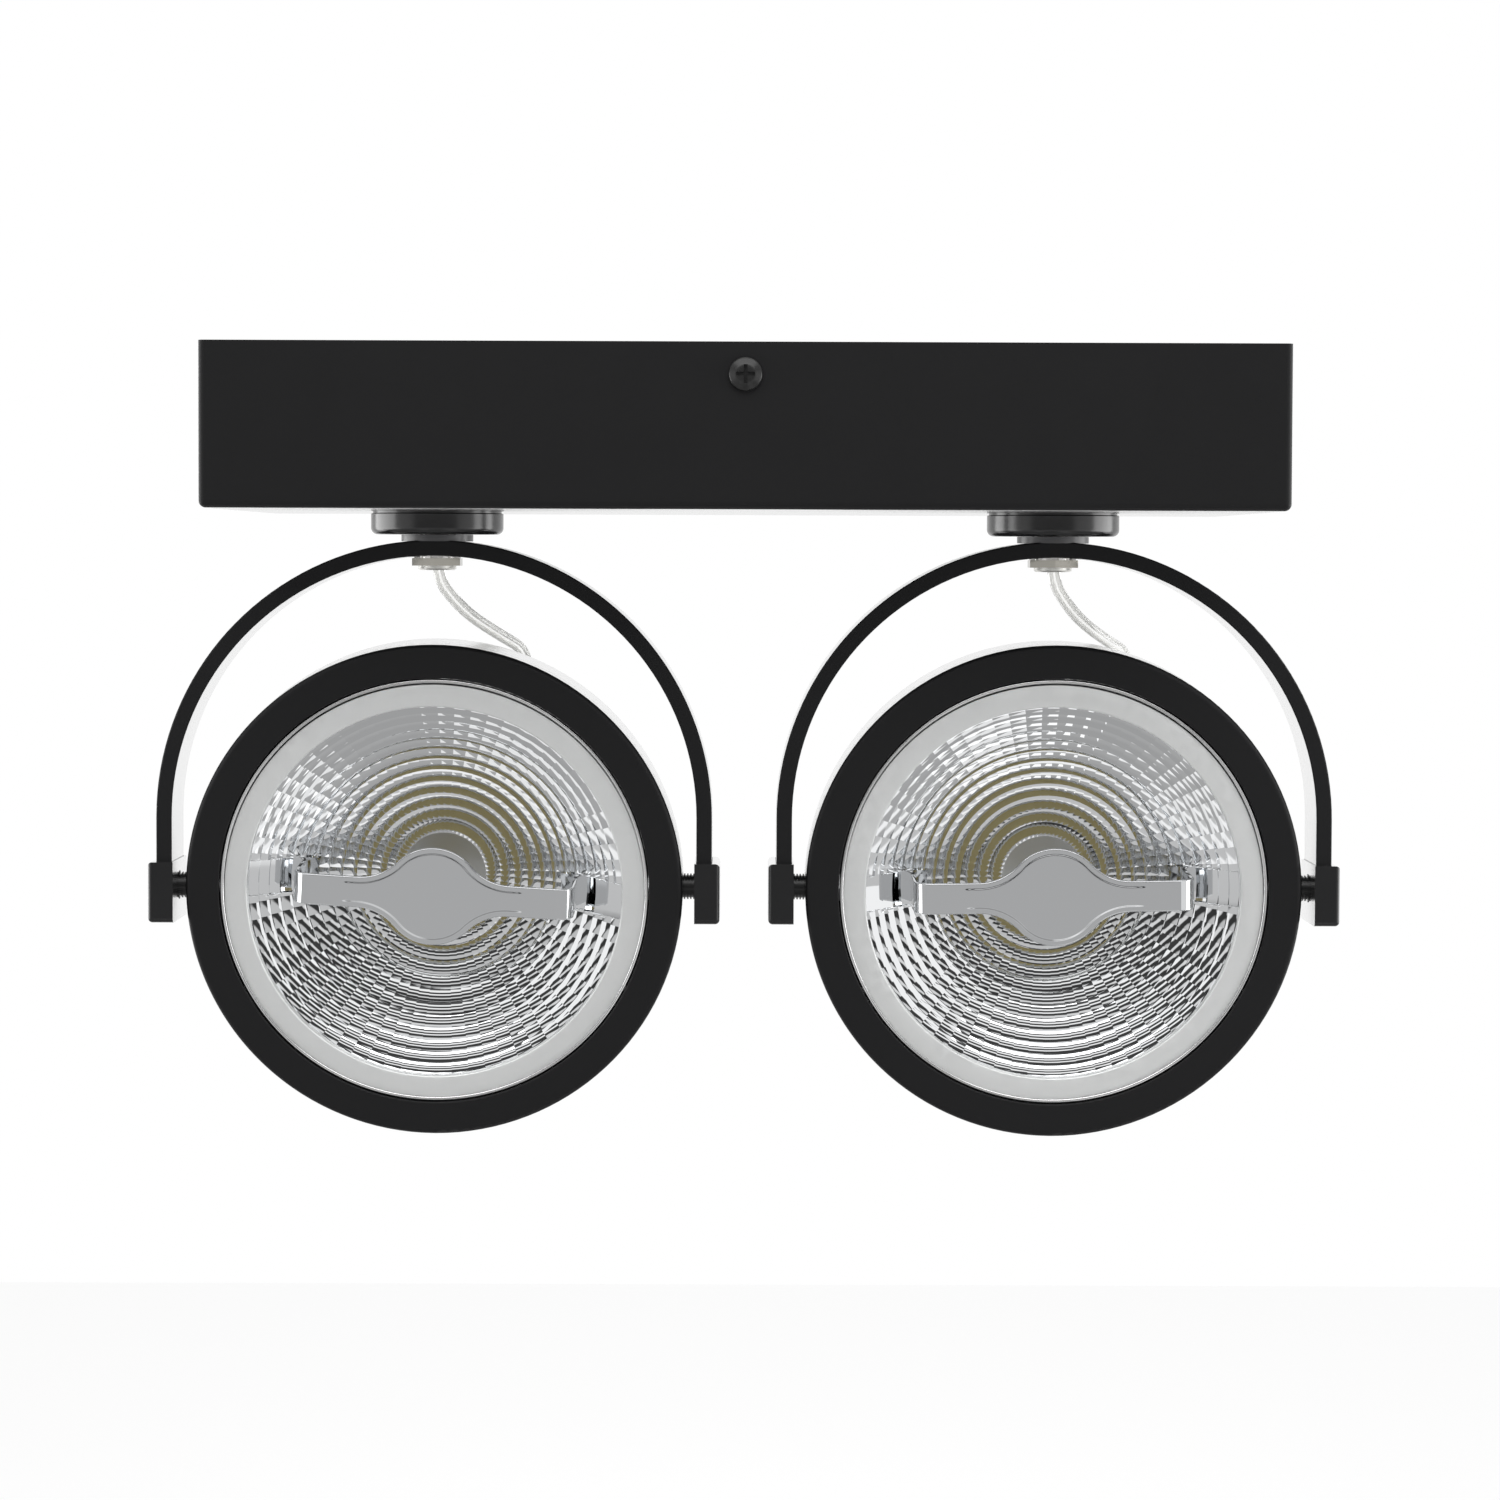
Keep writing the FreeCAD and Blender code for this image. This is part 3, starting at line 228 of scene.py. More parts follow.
def map_range(tree, value, start, end, low=0.0, high=1.0, interpolation="LINEAR"):
    """The value mapped from start and end to low and high, and held level beyond them."""
    node = tree.nodes.new("ShaderNodeMapRange")
    node.interpolation_type = interpolation
    node.inputs["From Min"].default_value = start
    node.inputs["From Max"].default_value = end
    node.inputs["To Min"].default_value = low
    node.inputs["To Max"].default_value = high
    tree.links.new(value, node.inputs["Value"])
    return node.outputs["Result"]


def noise(tree, size):
    """Noise that is fixed to the piece, with waves of this size in millimetres."""
    place = tree.nodes.new("ShaderNodeTexCoord")
    node = tree.nodes.new("ShaderNodeTexNoise")
    node.inputs["Scale"].default_value = 1 / (size * MM)
    tree.links.new(place.outputs["Object"], node.inputs["Vector"])
    return node


def grain(tree, shader, size, height):
    """A fine uneven surface, with bumps of this size and height in millimetres."""
    waves = noise(tree, size)
    waves.inputs["Detail"].default_value = GRAIN_DETAIL
    bump = tree.nodes.new("ShaderNodeBump")
    bump.inputs["Distance"].default_value = height * MM
    bump.inputs["Strength"].default_value = 1.0
    tree.links.new(waves.outputs["Fac"], bump.inputs["Height"])
    tree.links.new(bump.outputs["Normal"], shader.inputs["Normal"])


def uneven_roughness(tree, shader, size, low, high):
    """Roughness that drifts between two values over patches of this size in millimetres."""
    waves = noise(tree, size)
    roughness = map_range(tree, waves.outputs["Fac"], *NOISE_RANGE, low, high)
    tree.links.new(roughness, shader.inputs["Roughness"])


def coated(name, colour, roughness, grain_size, grain_height, specular=0.5):
    material, tree, shader = shader_of(name, colour)
    shader.inputs["Specular IOR Level"].default_value = specular
    grain(tree, shader, grain_size, grain_height)
    uneven_roughness(tree, shader, COAT_PATCH * grain_size,
                     low=roughness - COAT_DRIFT, high=roughness + COAT_DRIFT)
    return material


def black(name, colour, roughness, grain_size, grain_height, specular):
    """A dark coat that turns glossy where it is seen at a low angle."""
    material = coated(name, colour, roughness, grain_size, grain_height, specular)
    tree = material.node_tree
    angle = tree.nodes.new("ShaderNodeLayerWeight")
    angle.inputs["Blend"].default_value = 0.5
    share = map_range(tree, angle.outputs["Facing"], *GRAZE_RANGE, high=GRAZE_SHARE,
                      interpolation="SMOOTHSTEP")
    gloss = tree.nodes.new("ShaderNodeBsdfAnisotropic")
    gloss.inputs["Color"].default_value = (1, 1, 1, 1)
    gloss.inputs["Roughness"].default_value = GRAZE_ROUGHNESS
    mix = tree.nodes.new("ShaderNodeMixShader")
    tree.links.new(share, mix.inputs["Fac"])
    tree.links.new(tree.nodes["Principled BSDF"].outputs["BSDF"], mix.inputs[1])
    tree.links.new(gloss.outputs["BSDF"], mix.inputs[2])
    tree.links.new(mix.outputs["Shader"], tree.nodes["Material Output"].inputs["Surface"])
    return material


def metal(name, colour, roughness, grain_size=0.2, grain_height=0.0008, metallic=1.0):
    material, tree, shader = shader_of(name, colour)
    shader.inputs["Metallic"].default_value = metallic
    grain(tree, shader, grain_size, grain_height)
    uneven_roughness(tree, shader, METAL_PATCH * grain_size,
                     low=roughness * 0.8, high=roughness * 1.2)
    return material


def mirror(name, colour, roughness):
    """Bright vacuum metal with a faint drift in its polish."""
    material, tree, shader = shader_of(name, colour)
    shader.inputs["Metallic"].default_value = 1.0
    uneven_roughness(tree, shader, size=6.0, low=roughness * 0.7, high=roughness * 1.3)
    return material


def clear(name, colour, roughness):
    material, tree, shader = shader_of(name, colour)
    shader.inputs["Transmission Weight"].default_value = 1.0
    shader.inputs["IOR"].default_value = CLEAR_INDEX
    grain(tree, shader, size=1.2, height=0.01)
    uneven_roughness(tree, shader, size=8.0, low=roughness * 0.6, high=roughness * 1.4)
    return material


def painted_glow(name, colour, glow):
    """A surface with a faint light of its own, in place of light that pieces around it block."""
    material, tree, shader = shader_of(name, colour)
    shader.inputs["Emission Color"].default_value = (*colour, 1)
    shader.inputs["Emission Strength"].default_value = glow
    grain(tree, shader, size=0.6, height=0.02)
    uneven_roughness(tree, shader, size=3.0, low=0.25, high=0.4)
    return material


# After each name: colour, then roughness or glow, then the grain's size and height in
# millimetres, then the specular level, or the metallic share of a metal
FINISH = {
    "black_powder": black("black_powder", (0.0095, 0.0095, 0.0102), 0.5, 0.35, 0.004, 0.22),
    "black_plastic": black("black_plastic", (0.0095, 0.0095, 0.0102), 0.3, 0.5, 0.002, 0.45),
    "black_screw": coated("black_screw", (0.012, 0.012, 0.012), 0.3, 0.3, 0.002, 0.5),
    "grey_washer": coated("grey_washer", (0.085, 0.085, 0.088), 0.32, 0.4, 0.004),
    "nickel": metal("nickel", (0.66, 0.65, 0.63), 0.2),
    "zinc": metal("zinc", (0.58, 0.59, 0.6), 0.3),
    "mirror_chrome": mirror("mirror_chrome", (0.86, 0.87, 0.88), 0.02),
    "satin_ring": metal("satin_ring", (0.86, 0.87, 0.865), 0.5, 0.05, 0.0003, 0.75),
    "bridge_chrome": mirror("bridge_chrome", (0.64, 0.65, 0.66), 0.03),
    "heat_sink": metal("heat_sink", (0.6, 0.61, 0.62), 0.45, 0.5, 0.006),
    "board_white": coated("board_white", (0.8, 0.8, 0.77), 0.4, 0.6, 0.003),
    # The phosphor's glow is painted light, in place of the light that the bridge's disc keeps
    # from it
    "phosphor": painted_glow("phosphor", (0.5, 0.42, 0.2), 0.08),
    "ceramic": coated("ceramic", (0.72, 0.70, 0.64), 0.6, 0.5, 0.01),
    "brass": metal("brass", (0.72, 0.55, 0.27), 0.28),
    "driver_case": coated("driver_case", (0.7, 0.7, 0.68), 0.5, 0.5, 0.006),
    "nylon": coated("nylon", (0.76, 0.76, 0.71), 0.45, 0.6, 0.004),
    "black_rubber": coated("black_rubber", (0.014, 0.014, 0.014), 0.6, 0.5, 0.006, 0.3),
    "spring_steel": metal("spring_steel", (0.7, 0.7, 0.7), 0.18),
    "clear_cable": clear("clear_cable", (0.97, 0.97, 0.96), 0.05),
}
# The strands' glow is painted light, in place of the light that the clear sheath holds back
TINNED = painted_glow("tinned_strands", (0.95, 0.95, 0.93), 0.24)

# Nodes that look different from the rest of their slot, by their names without the side
SPECIAL = {
    "swivel_disc": coated("disc_plastic", (0.0095, 0.0095, 0.0102), 0.22, 0.5, 0.002, 0.6),
    "swivel_nut": metal("nut_nickel", (0.3, 0.29, 0.26), 0.16),
    "hollow_nipple": metal("nipple_nickel", (0.93, 0.92, 0.88), 0.4, 0.5, 0.006, 0.6),
}


def finish_nodes():
    """Gives each of the frame's own meshes the finish of its slot, or its special one."""
    for part in frame["record"]["subparts"]:
        mesh = frame["nodes"][part["node"]].data
        mesh.materials.clear()
        kind = part["node"].rsplit("_", 1)[0]
        mesh.materials.append(SPECIAL.get(kind, FINISH[part["material_slot"]]))


# Meshes

def add_mesh(name, points, faces, slot_name):
    mesh = bpy.data.meshes.new(name)
    mesh.from_pydata(points, [], faces)
    mesh.polygons.foreach_set("use_smooth", [True] * len(mesh.polygons))
    mesh.materials.append(FINISH[slot_name])
    piece = bpy.data.objects.new(name, mesh)
    bpy.context.scene.collection.objects.link(piece)
    return piece


def sharpen(piece):
    piece.data.set_sharp_from_angle(angle=math.radians(SHARP_ANGLE))


def head_place(side):
    """From head millimetres to the row frame, for the head as it hangs."""
    tilt = Matrix.Rotation(math.radians(REST_TILT[side]), 4, "X")
    return Matrix.Translation(PIVOT[side]) @ tilt @ Matrix.Scale(MM, 4)


def lamp_place(side):
    """From lamp millimetres to the row frame: the lamp is rolled a little and sits low."""
    roll = Matrix.Rotation(math.radians(LAMP_ROLL[side]), 4, "Y")
    return head_place(side) @ Matrix.Translation((0, 0, -LAMP_DROP)) @ roll


def placed(place, points):
    return [place @ Vector(point) for point in points]


# The faceted reflector

MOUTH_Y = LAMP_FRONT + MOUTH_SET_BACK
FLOOR_Y = MOUTH_Y + BOWL_DEPTH
BOWL_CONSTANT = (MOUTH_RADIUS ** 2 - FLOOR_RADIUS ** 2) / BOWL_DEPTH
BOWL_VERTEX = FLOOR_Y + FLOOR_RADIUS ** 2 / BOWL_CONSTANT


def bowl_y(radius):
    return BOWL_VERTEX - radius ** 2 / BOWL_CONSTANT


def ring_radii():
    change = (RING_COUNT * FIRST_PITCH - (MOUTH_RADIUS - FLOOR_RADIUS)) / (
        RING_COUNT * (RING_COUNT - 1) / 2)
    radii = [FLOOR_RADIUS]
    for k in range(RING_COUNT):
        radii.append(radii[-1] + FIRST_PITCH - k * change)
    return radii


def around(radius, angle, y):
    """A point of the lamp at this radius and angle from +X, at depth y."""
    return (radius * math.cos(angle), y, radius * math.sin(angle))


class Patches:
    """Gathers grids of points into one mesh. Each keeps its own points, for crisp edges."""

    def __init__(self):
        self.points = []
        self.faces = []

    def grid(self, rows):
        first = len(self.points)
        width = len(rows[0])
        for row in rows:
            self.points += row
        for i in range(len(rows) - 1):
            for j in range(width - 1):
                corner = first + i * width + j
                self.faces.append((corner, corner + 1, corner + width + 1, corner + width))

    def bands(self, profile):
        """Plain bands all the way around, between each (radius, y) and the next."""
        turns = [2 * math.pi * k / FACET_COUNT for k in range(FACET_COUNT + 1)]
        for ends in zip(profile, profile[1:]):
            self.grid([[around(radius, angle, y) for angle in turns] for radius, y in ends])


def channel_angle(radius):
    return math.asin(CHANNEL_HALF / radius)


def off_channel(angle, radius):
    """The angle, moved to the channel's edge where it would lie in the channel."""
    if radius < CHANNEL_START:
        return angle
    half = channel_angle(radius)
    for centre in (0.0, math.pi, 2 * math.pi):
        if abs(angle - centre) < half:
            return centre + math.copysign(half, angle - centre)
    return angle


def facet_rows(inner, outer, start, end):
    """One pillow-shaped facet between two radii and two angles."""
    drop = (bowl_y(inner) - bowl_y(outer)) * TREAD_SHARE
    lean = math.hypot(outer - inner, drop)
    rise_outward = PILLOW_RISE_OUTWARD * lean
    rise_around = PILLOW_RISE_AROUND * (end - start) * (inner + outer) / 2
    rows = []
    for i in range(FACET_CELLS + 1):
        u = i / FACET_CELLS
        radius = inner + u * (outer - inner)
        row = []
        for j in range(FACET_CELLS + 1):
            angle = off_channel(start + j / FACET_CELLS * (end - start), radius)
            v = (angle - start) / (end - start)
            rise = rise_outward * 4 * u * (1 - u) + rise_around * 4 * v * (1 - v)
            row.append(around(radius - rise * drop / lean, angle,
                              bowl_y(inner) - u * drop - rise * (outer - inner) / lean))
        rows.append(row)
    return rows


def in_channel(start, end, radius):
    """Whether a channel holds all of the span between these two angles."""
    half = channel_angle(radius) if radius > CHANNEL_START else 0.0
    return any(start >= centre - half - ANGLE_SLACK and end <= centre + half + ANGLE_SLACK
               for centre in (0.0, math.pi, 2 * math.pi))


def add_facets(patches):
    """Each ring's facets, and the riser from each facet to the ring outside it."""
    radii = ring_radii()
    step = 2 * math.pi / FACET_COUNT
    for k, (inner, outer) in enumerate(zip(radii, radii[1:])):
        for j in range(FACET_COUNT):
            start = (j + 0.5) * step
            end = start + step
            if in_channel(start, end, outer):
                continue
            rows = facet_rows(inner, outer, start, end)
            patches.grid(rows)
            if k + 1 < RING_COUNT:
                ahead = facet_rows(outer, radii[k + 2], start, end)[0]
            else:
                ahead = [around(MOUTH_RADIUS, start + i / FACET_CELLS * step,
                                LAMP_FRONT + RING_PLATE) for i in range(FACET_CELLS + 1)]
            patches.grid([rows[-1], ahead])


def add_channels(patches):
    """The two smooth channels beyond the bridge's ends: a plain seat, then plain steps."""
    radii = [radius for radius in ring_radii() if radius > SEAT_END]
    seat_y = bowl_y(CHANNEL_START)
    profile = [(CHANNEL_START - CHANNEL_LAP, seat_y), (radii[0], seat_y - SEAT_RISE)]
    for inner, outer in zip(radii, radii[1:]):
        drop = (bowl_y(inner) - bowl_y(outer)) * TREAD_SHARE
        profile += [(inner, bowl_y(inner)), (outer, bowl_y(inner) - drop)]
    profile.append((MOUTH_RADIUS, LAMP_FRONT + RING_PLATE))
    for centre in (0.0, math.pi):
        for ends in zip(profile, profile[1:]):
            rows = []
            for radius, y in ends:
                half = channel_angle(radius)
                rows.append([around(radius, centre - half + 2 * half * i / CHANNEL_CELLS, y)
                             for i in range(CHANNEL_CELLS + 1)])
            patches.grid(rows)


def add_back(patches):
    """The bowl's flange and its smooth back."""
    flange_front = LAMP_FRONT + RING_PLATE + PLATE_GAP
    floor_back = FLOOR_Y + FLOOR_PLATE
    profile = [(MOUTH_RADIUS, flange_front), (FLANGE_RADIUS, flange_front),
               (FLANGE_RADIUS, flange_front + FLANGE_DEPTH)]
    mouth = math.sqrt((BOWL_VERTEX - flange_front - FLANGE_DEPTH + BOWL_WALL) * BOWL_CONSTANT)
    throat = math.sqrt((BOWL_VERTEX - floor_back + BOWL_WALL) * BOWL_CONSTANT)
    for k in range(BACK_CELLS + 1):
        radius = mouth + (throat - mouth) * k / BACK_CELLS
        profile.append((radius, bowl_y(radius) + BOWL_WALL))
    profile.append((0.0, floor_back))
    patches.bands(profile)


def reflector(side):
    patches = Patches()
    add_facets(patches)
    add_channels(patches)
    add_back(patches)
    piece = add_mesh("faceted_reflector_" + side, placed(lamp_place(side), patches.points),
                     patches.faces, "mirror_chrome")
    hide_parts("lamp_reflector_" + side)
    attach(piece, "head_" + side)


def reflector_floor(side):
    """A flat disc on the bowl's floor, so that no gap shows inside the innermost facets."""
    disc = Patches()
    disc.bands([(0.0, FLOOR_Y), (FLOOR_RADIUS, FLOOR_Y)])
    piece = add_mesh("reflector_floor_" + side, placed(lamp_place(side), disc.points),
                     disc.faces, "heat_sink")
    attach(piece, "head_" + side)


# The lamp's ring and the wire ring

def turned(profile):
    """A closed ring whose section is this loop of (radius, y)."""
    points = []
    faces = []
    count = len(profile)
    for k in range(RING_TURNS):
        points += [around(radius, 2 * math.pi * k / RING_TURNS, y) for radius, y in profile]
    for k in range(RING_TURNS):
        following = (k + 1) % RING_TURNS
        for i in range(count):
            j = (i + 1) % count
            faces.append((k * count + i, k * count + j, following * count + j,
                          following * count + i))
    return points, faces


def rounded_loop(corners):
    """A loop of (radius, y) corners; a third number rounds the corner with that radius."""
    loop = []
    count = len(corners)
    for k, corner in enumerate(corners):
        here = Vector(corner[:2])
        size = corner[2] if len(corner) > 2 else 0.0
        if not size:
            loop.append(tuple(here))
            continue
        before = (Vector(corners[k - 1][:2]) - here).normalized()
        after = (Vector(corners[(k + 1) % count][:2]) - here).normalized()
        centre = here + (before + after) * size
        for i in range(EDGE_CELLS + 1):
            turn = math.pi / 2 * i / EDGE_CELLS
            loop.append(tuple(centre - after * size * math.cos(turn)
                              - before * size * math.sin(turn)))
    return loop


def lamp_ring(side):
    plate = LAMP_FRONT + RING_PLATE
    back = LAMP_FRONT + RING_DEPTH
    inside = LAMP_RADIUS - RING_SKIRT
    points, faces = turned(rounded_loop([
        (MOUTH_RADIUS, LAMP_FRONT, BORE_EDGE), (LAMP_RADIUS, LAMP_FRONT, RIM_EDGE),
        (LAMP_RADIUS, back), (inside, back), (inside, plate), (MOUTH_RADIUS, plate)]))
    piece = add_mesh("satin_lamp_ring_" + side, placed(lamp_place(side), points), faces,
                     "satin_ring")
    sharpen(piece)
    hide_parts("lamp_ring_" + side)
    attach(piece, "head_" + side)


def wire_ring(side):
    """The bright wire ring between the bezel and the lamp."""
    section = []
    for k in range(WIRE_CELLS):
        turn = 2 * math.pi * k / WIRE_CELLS
        section.append((WIRE_RADIUS + WIRE_HALF_WIDTH * math.cos(turn),
                        WIRE_FRONT + WIRE_HALF_DEPTH * (1 + math.sin(turn))))
    points, faces = turned(section)
    piece = add_mesh("wire_ring_" + side, placed(head_place(side), points), faces,
                     "spring_steel")
    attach(piece, "head_" + side)


# The bridge

def bridge_half_width(s):
    """Half the bridge's width at this distance along it: a disc that runs into two wings."""
    reach = BRIDGE_DISC + BRIDGE_BLEND
    blend_z = BRIDGE_HALF_WIDTH + BRIDGE_BLEND
    blend_x = math.sqrt(reach ** 2 - blend_z ** 2)
    touch_x = blend_x * BRIDGE_DISC / reach
    s = abs(s)
    if s < touch_x:
        return math.sqrt(BRIDGE_DISC ** 2 - s ** 2)
    if s < blend_x:
        return blend_z - math.sqrt(BRIDGE_BLEND ** 2 - (blend_x - s) ** 2)
    return BRIDGE_HALF_WIDTH


def bridge_point(s, z, depth):
    """A point at s along the bridge and z across it, this far behind its front face."""
    flat = BRIDGE_END - BRIDGE_BEND
    side = math.copysign(1, s)
    run = abs(s) - flat
    if run <= 0:
        return (s, BRIDGE_FRONT + depth, z)
    turn = min(run / BRIDGE_BEND, math.pi / 2)
    leg = max(0.0, run - BRIDGE_BEND * math.pi / 2)
    x = flat + (BRIDGE_BEND - depth) * math.sin(turn)
    y = BRIDGE_FRONT + BRIDGE_BEND - (BRIDGE_BEND - depth) * math.cos(turn) + leg
    return (side * x, y, z)


def bridge_face(s):
    """The front face from its edge in to its raised panel, as (inset, depth) pairs."""
    fade = min(1.0, max(0.0, (PANEL_END - abs(s)) / PANEL_FADE))
    step = PANEL_STEP * fade
    pairs = []
    for inset in EDGE_INSETS:
        drop = BRIDGE_EDGE - math.sqrt(BRIDGE_EDGE ** 2 - (BRIDGE_EDGE - inset) ** 2)
        pairs.append((inset, drop + step))
    pairs += [(BRIDGE_EDGE + EDGE_HOLD, step), (PANEL_INSET - PANEL_HOLD, step),
              (PANEL_INSET - PANEL_SLOPE, step), (PANEL_INSET, step / 2),
              (PANEL_INSET + PANEL_SLOPE, 0.0), (PANEL_INSET + PANEL_HOLD, 0.0)]
    return pairs


def bridge_loop(s):
    """The points once around the bridge, at s along it."""
    slope = (bridge_half_width(s + SLOPE_STEP)
             - bridge_half_width(s - SLOPE_STEP)) / (2 * SLOPE_STEP)
    length = math.hypot(1, slope)
    width = bridge_half_width(s)
    upper = [(s + inset * slope / length, width - inset / length, depth)
             for inset, depth in bridge_face(s)]
    lower = [(t, -z, depth) for t, z, depth in reversed(upper)]
    back = [(s, -width, BRIDGE_SHEET), (s, width, BRIDGE_SHEET)]
    return [bridge_point(*point) for point in upper + lower + back]


def bridge_stations():
    """Distances along the bridge from the end of one leg to the end of the other."""
    flat = BRIDGE_END - BRIDGE_BEND
    bend = BRIDGE_BEND * math.pi / 2
    leg = bowl_y(BRIDGE_END) + BOWL_WALL / 2 - BRIDGE_FRONT - BRIDGE_BEND
    stations = [flat * k / FLAT_CELLS for k in range(FLAT_CELLS + 1)]
    stations += [flat + bend * k / BEND_CELLS for k in range(1, BEND_CELLS + 1)]
    stations.append(flat + bend + leg)
    return [-s for s in reversed(stations[1:])] + stations


def bridge(side):
    loops = [bridge_loop(s) for s in bridge_stations()]
    count = len(loops[0])
    points = [point for loop in loops for point in loop]
    faces = []
    for k in range(len(loops) - 1):
        for i in range(count):
            j = (i + 1) % count
            faces.append((k * count + i, (k + 1) * count + i, (k + 1) * count + j, k * count + j))
    last = (len(loops) - 1) * count
    faces.append(tuple(range(count)))
    faces.append(tuple(reversed(range(last, last + count))))
    piece = add_mesh("polished_bridge_" + side, placed(lamp_place(side), points), faces,
                     "bridge_chrome")
    sharpen(piece)
    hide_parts("lamp_bridge_" + side)
    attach(piece, "head_" + side)


# Link cables

def cable_points(side):
    """The route from the swivel's nut to the head's gland, in the row frame."""
    swivel = Vector((PIVOT[side].x, 0, 0))
    points = [swivel + Vector(point) * MM for point in CABLE_ROUTE[side]]
    angle = math.radians(GLAND_ANGLE)
    for reach in (GLAND_CORNER[side], GLAND_INSIDE):
        place = Vector((reach * math.sin(angle), GLAND_BACK, reach * math.cos(angle)))
        points.append(head_place(side) @ place)
    return points


def spline_points(name, points):
    """The points that a smooth NURBS line with these control points follows."""
    curve = bpy.data.curves.new(name, "CURVE")
    curve.dimensions = "3D"
    curve.resolution_u = SPLINE_CELLS
    spline = curve.splines.new("NURBS")
    spline.points.add(len(points) - 1)
    for slot, point in zip(spline.points, points):
        slot.co = (*point, 1)
    spline.order_u = SPLINE_ORDER
    spline.use_endpoint_u = True
    holder = bpy.data.objects.new(name, curve)
    mesh = bpy.data.meshes.new_from_object(holder)
    line = [vertex.co.copy() for vertex in mesh.vertices]
    bpy.data.objects.remove(holder)
    bpy.data.meshes.remove(mesh)
    return line


def tube_along(name, line, radius, slot_name, offset, turns):
    """A closed tube round a line, or beside it by offset to one side."""
    points = []
    across = Vector((1, 0, 0))
    for k, centre in enumerate(line):
        ahead = line[min(k + 1, len(line) - 1)] - line[max(k - 1, 0)]
        ahead.normalize()
        across = (across - ahead * across.dot(ahead)).normalized()
        upward = ahead.cross(across)
        for i in range(turns):
            turn = 2 * math.pi * i / turns
            points.append(centre + across * (offset + radius * math.cos(turn))
                          + upward * radius * math.sin(turn))
    faces = []
    for k in range(len(line) - 1):
        for i in range(turns):
            following = (i + 1) % turns
            faces.append((k * turns + i, k * turns + following,
                          (k + 1) * turns + following, (k + 1) * turns + i))
    last = (len(line) - 1) * turns
    faces.append(tuple(reversed(range(turns))))
    faces.append(tuple(range(last, last + turns)))
    return add_mesh(name, points, faces, slot_name)


def link_cable(side):
    """The clear sheath and its two conductors, one piece of flex from the nut to the gland."""
    line = spline_points("route_" + side, cable_points(side))
    sheath = tube_along("cable_sheath_" + side, line, CABLE_RADIUS * MM, "clear_cable",
                        0.0, CABLE_TURNS)
    strands = []
    for k, offset in enumerate((-CONDUCTOR_OFFSET, CONDUCTOR_OFFSET)):
        strand = tube_along("cable_conductor_%d_%s" % (k + 1, side), line, CONDUCTOR_RADIUS * MM,
                            "clear_cable", offset * MM, CONDUCTOR_TURNS)
        strand.data.materials.clear()
        strand.data.materials.append(TINNED)
        strands.append(strand)
    for piece in (sheath, *strands):
        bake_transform(piece)
    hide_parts("link_cable_" + side)


# Studio

def by_ray(tree, output, direct, mirrored, other):
    """One shader for the camera and what it sees through clear pieces, one for mirrors, one for
    the rest."""
    links = tree.links
    path = tree.nodes.new("ShaderNodeLightPath")
    seen = tree.nodes.new("ShaderNodeMath")
    seen.operation = "MAXIMUM"
    links.new(path.outputs["Is Camera Ray"], seen.inputs[0])
    links.new(path.outputs["Is Transmission Ray"], seen.inputs[1])
    first = tree.nodes.new("ShaderNodeMixShader")
    links.new(path.outputs["Is Glossy Ray"], first.inputs["Fac"])
    links.new(other, first.inputs[1])
    links.new(mirrored, first.inputs[2])
    second = tree.nodes.new("ShaderNodeMixShader")
    links.new(seen.outputs["Value"], second.inputs["Fac"])
    links.new(first.outputs["Shader"], second.inputs[1])
    links.new(direct, second.inputs[2])
    links.new(second.outputs["Shader"], tree.nodes[output].inputs["Surface"])


def stage_panel(name, corners, material):
    mesh = bpy.data.meshes.new(name)
    mesh.from_pydata(corners, [], [(0, 1, 2, 3)])
    mesh.materials.append(material)
    piece = bpy.data.objects.new(name, mesh)
    bpy.context.scene.collection.objects.link(piece)


def floor():
    """A pale floor that glows up to white for the camera, and that mirrors see through."""
    material, tree, shader = shader_of("studio_floor", FLOOR_COLOUR)
    shader.inputs["Roughness"].default_value = FLOOR_ROUGHNESS
    glow = tree.nodes.new("ShaderNodeEmission")
    glow.inputs["Strength"].default_value = FLOOR_GLOW
    lit = tree.nodes.new("ShaderNodeAddShader")
    tree.links.new(shader.outputs["BSDF"], lit.inputs[0])
    tree.links.new(glow.outputs["Emission"], lit.inputs[1])
    unseen = tree.nodes.new("ShaderNodeBsdfTransparent")
    by_ray(tree, "Material Output", direct=lit.outputs["Shader"],
           mirrored=unseen.outputs["BSDF"], other=shader.outputs["BSDF"])
    stage_panel("studio_floor", [(x * FLOOR_HALF, y * FLOOR_HALF, FLOOR_HEIGHT)
                                 for x, y in ((-1, -1), (1, -1), (1, 1), (-1, 1))], material)


def ramp(tree, stops):
    """A ramp of greys through these (place, brightness) pairs."""
    node = tree.nodes.new("ShaderNodeValToRGB")
    node.color_ramp.elements.remove(node.color_ramp.elements[1])
    for k, (position, value) in enumerate(stops):
        if k:
            stop = node.color_ramp.elements.new(position)
        else:
            stop = node.color_ramp.elements[0]
            stop.position = position
        stop.color = (value, value, value, 1)
    return node


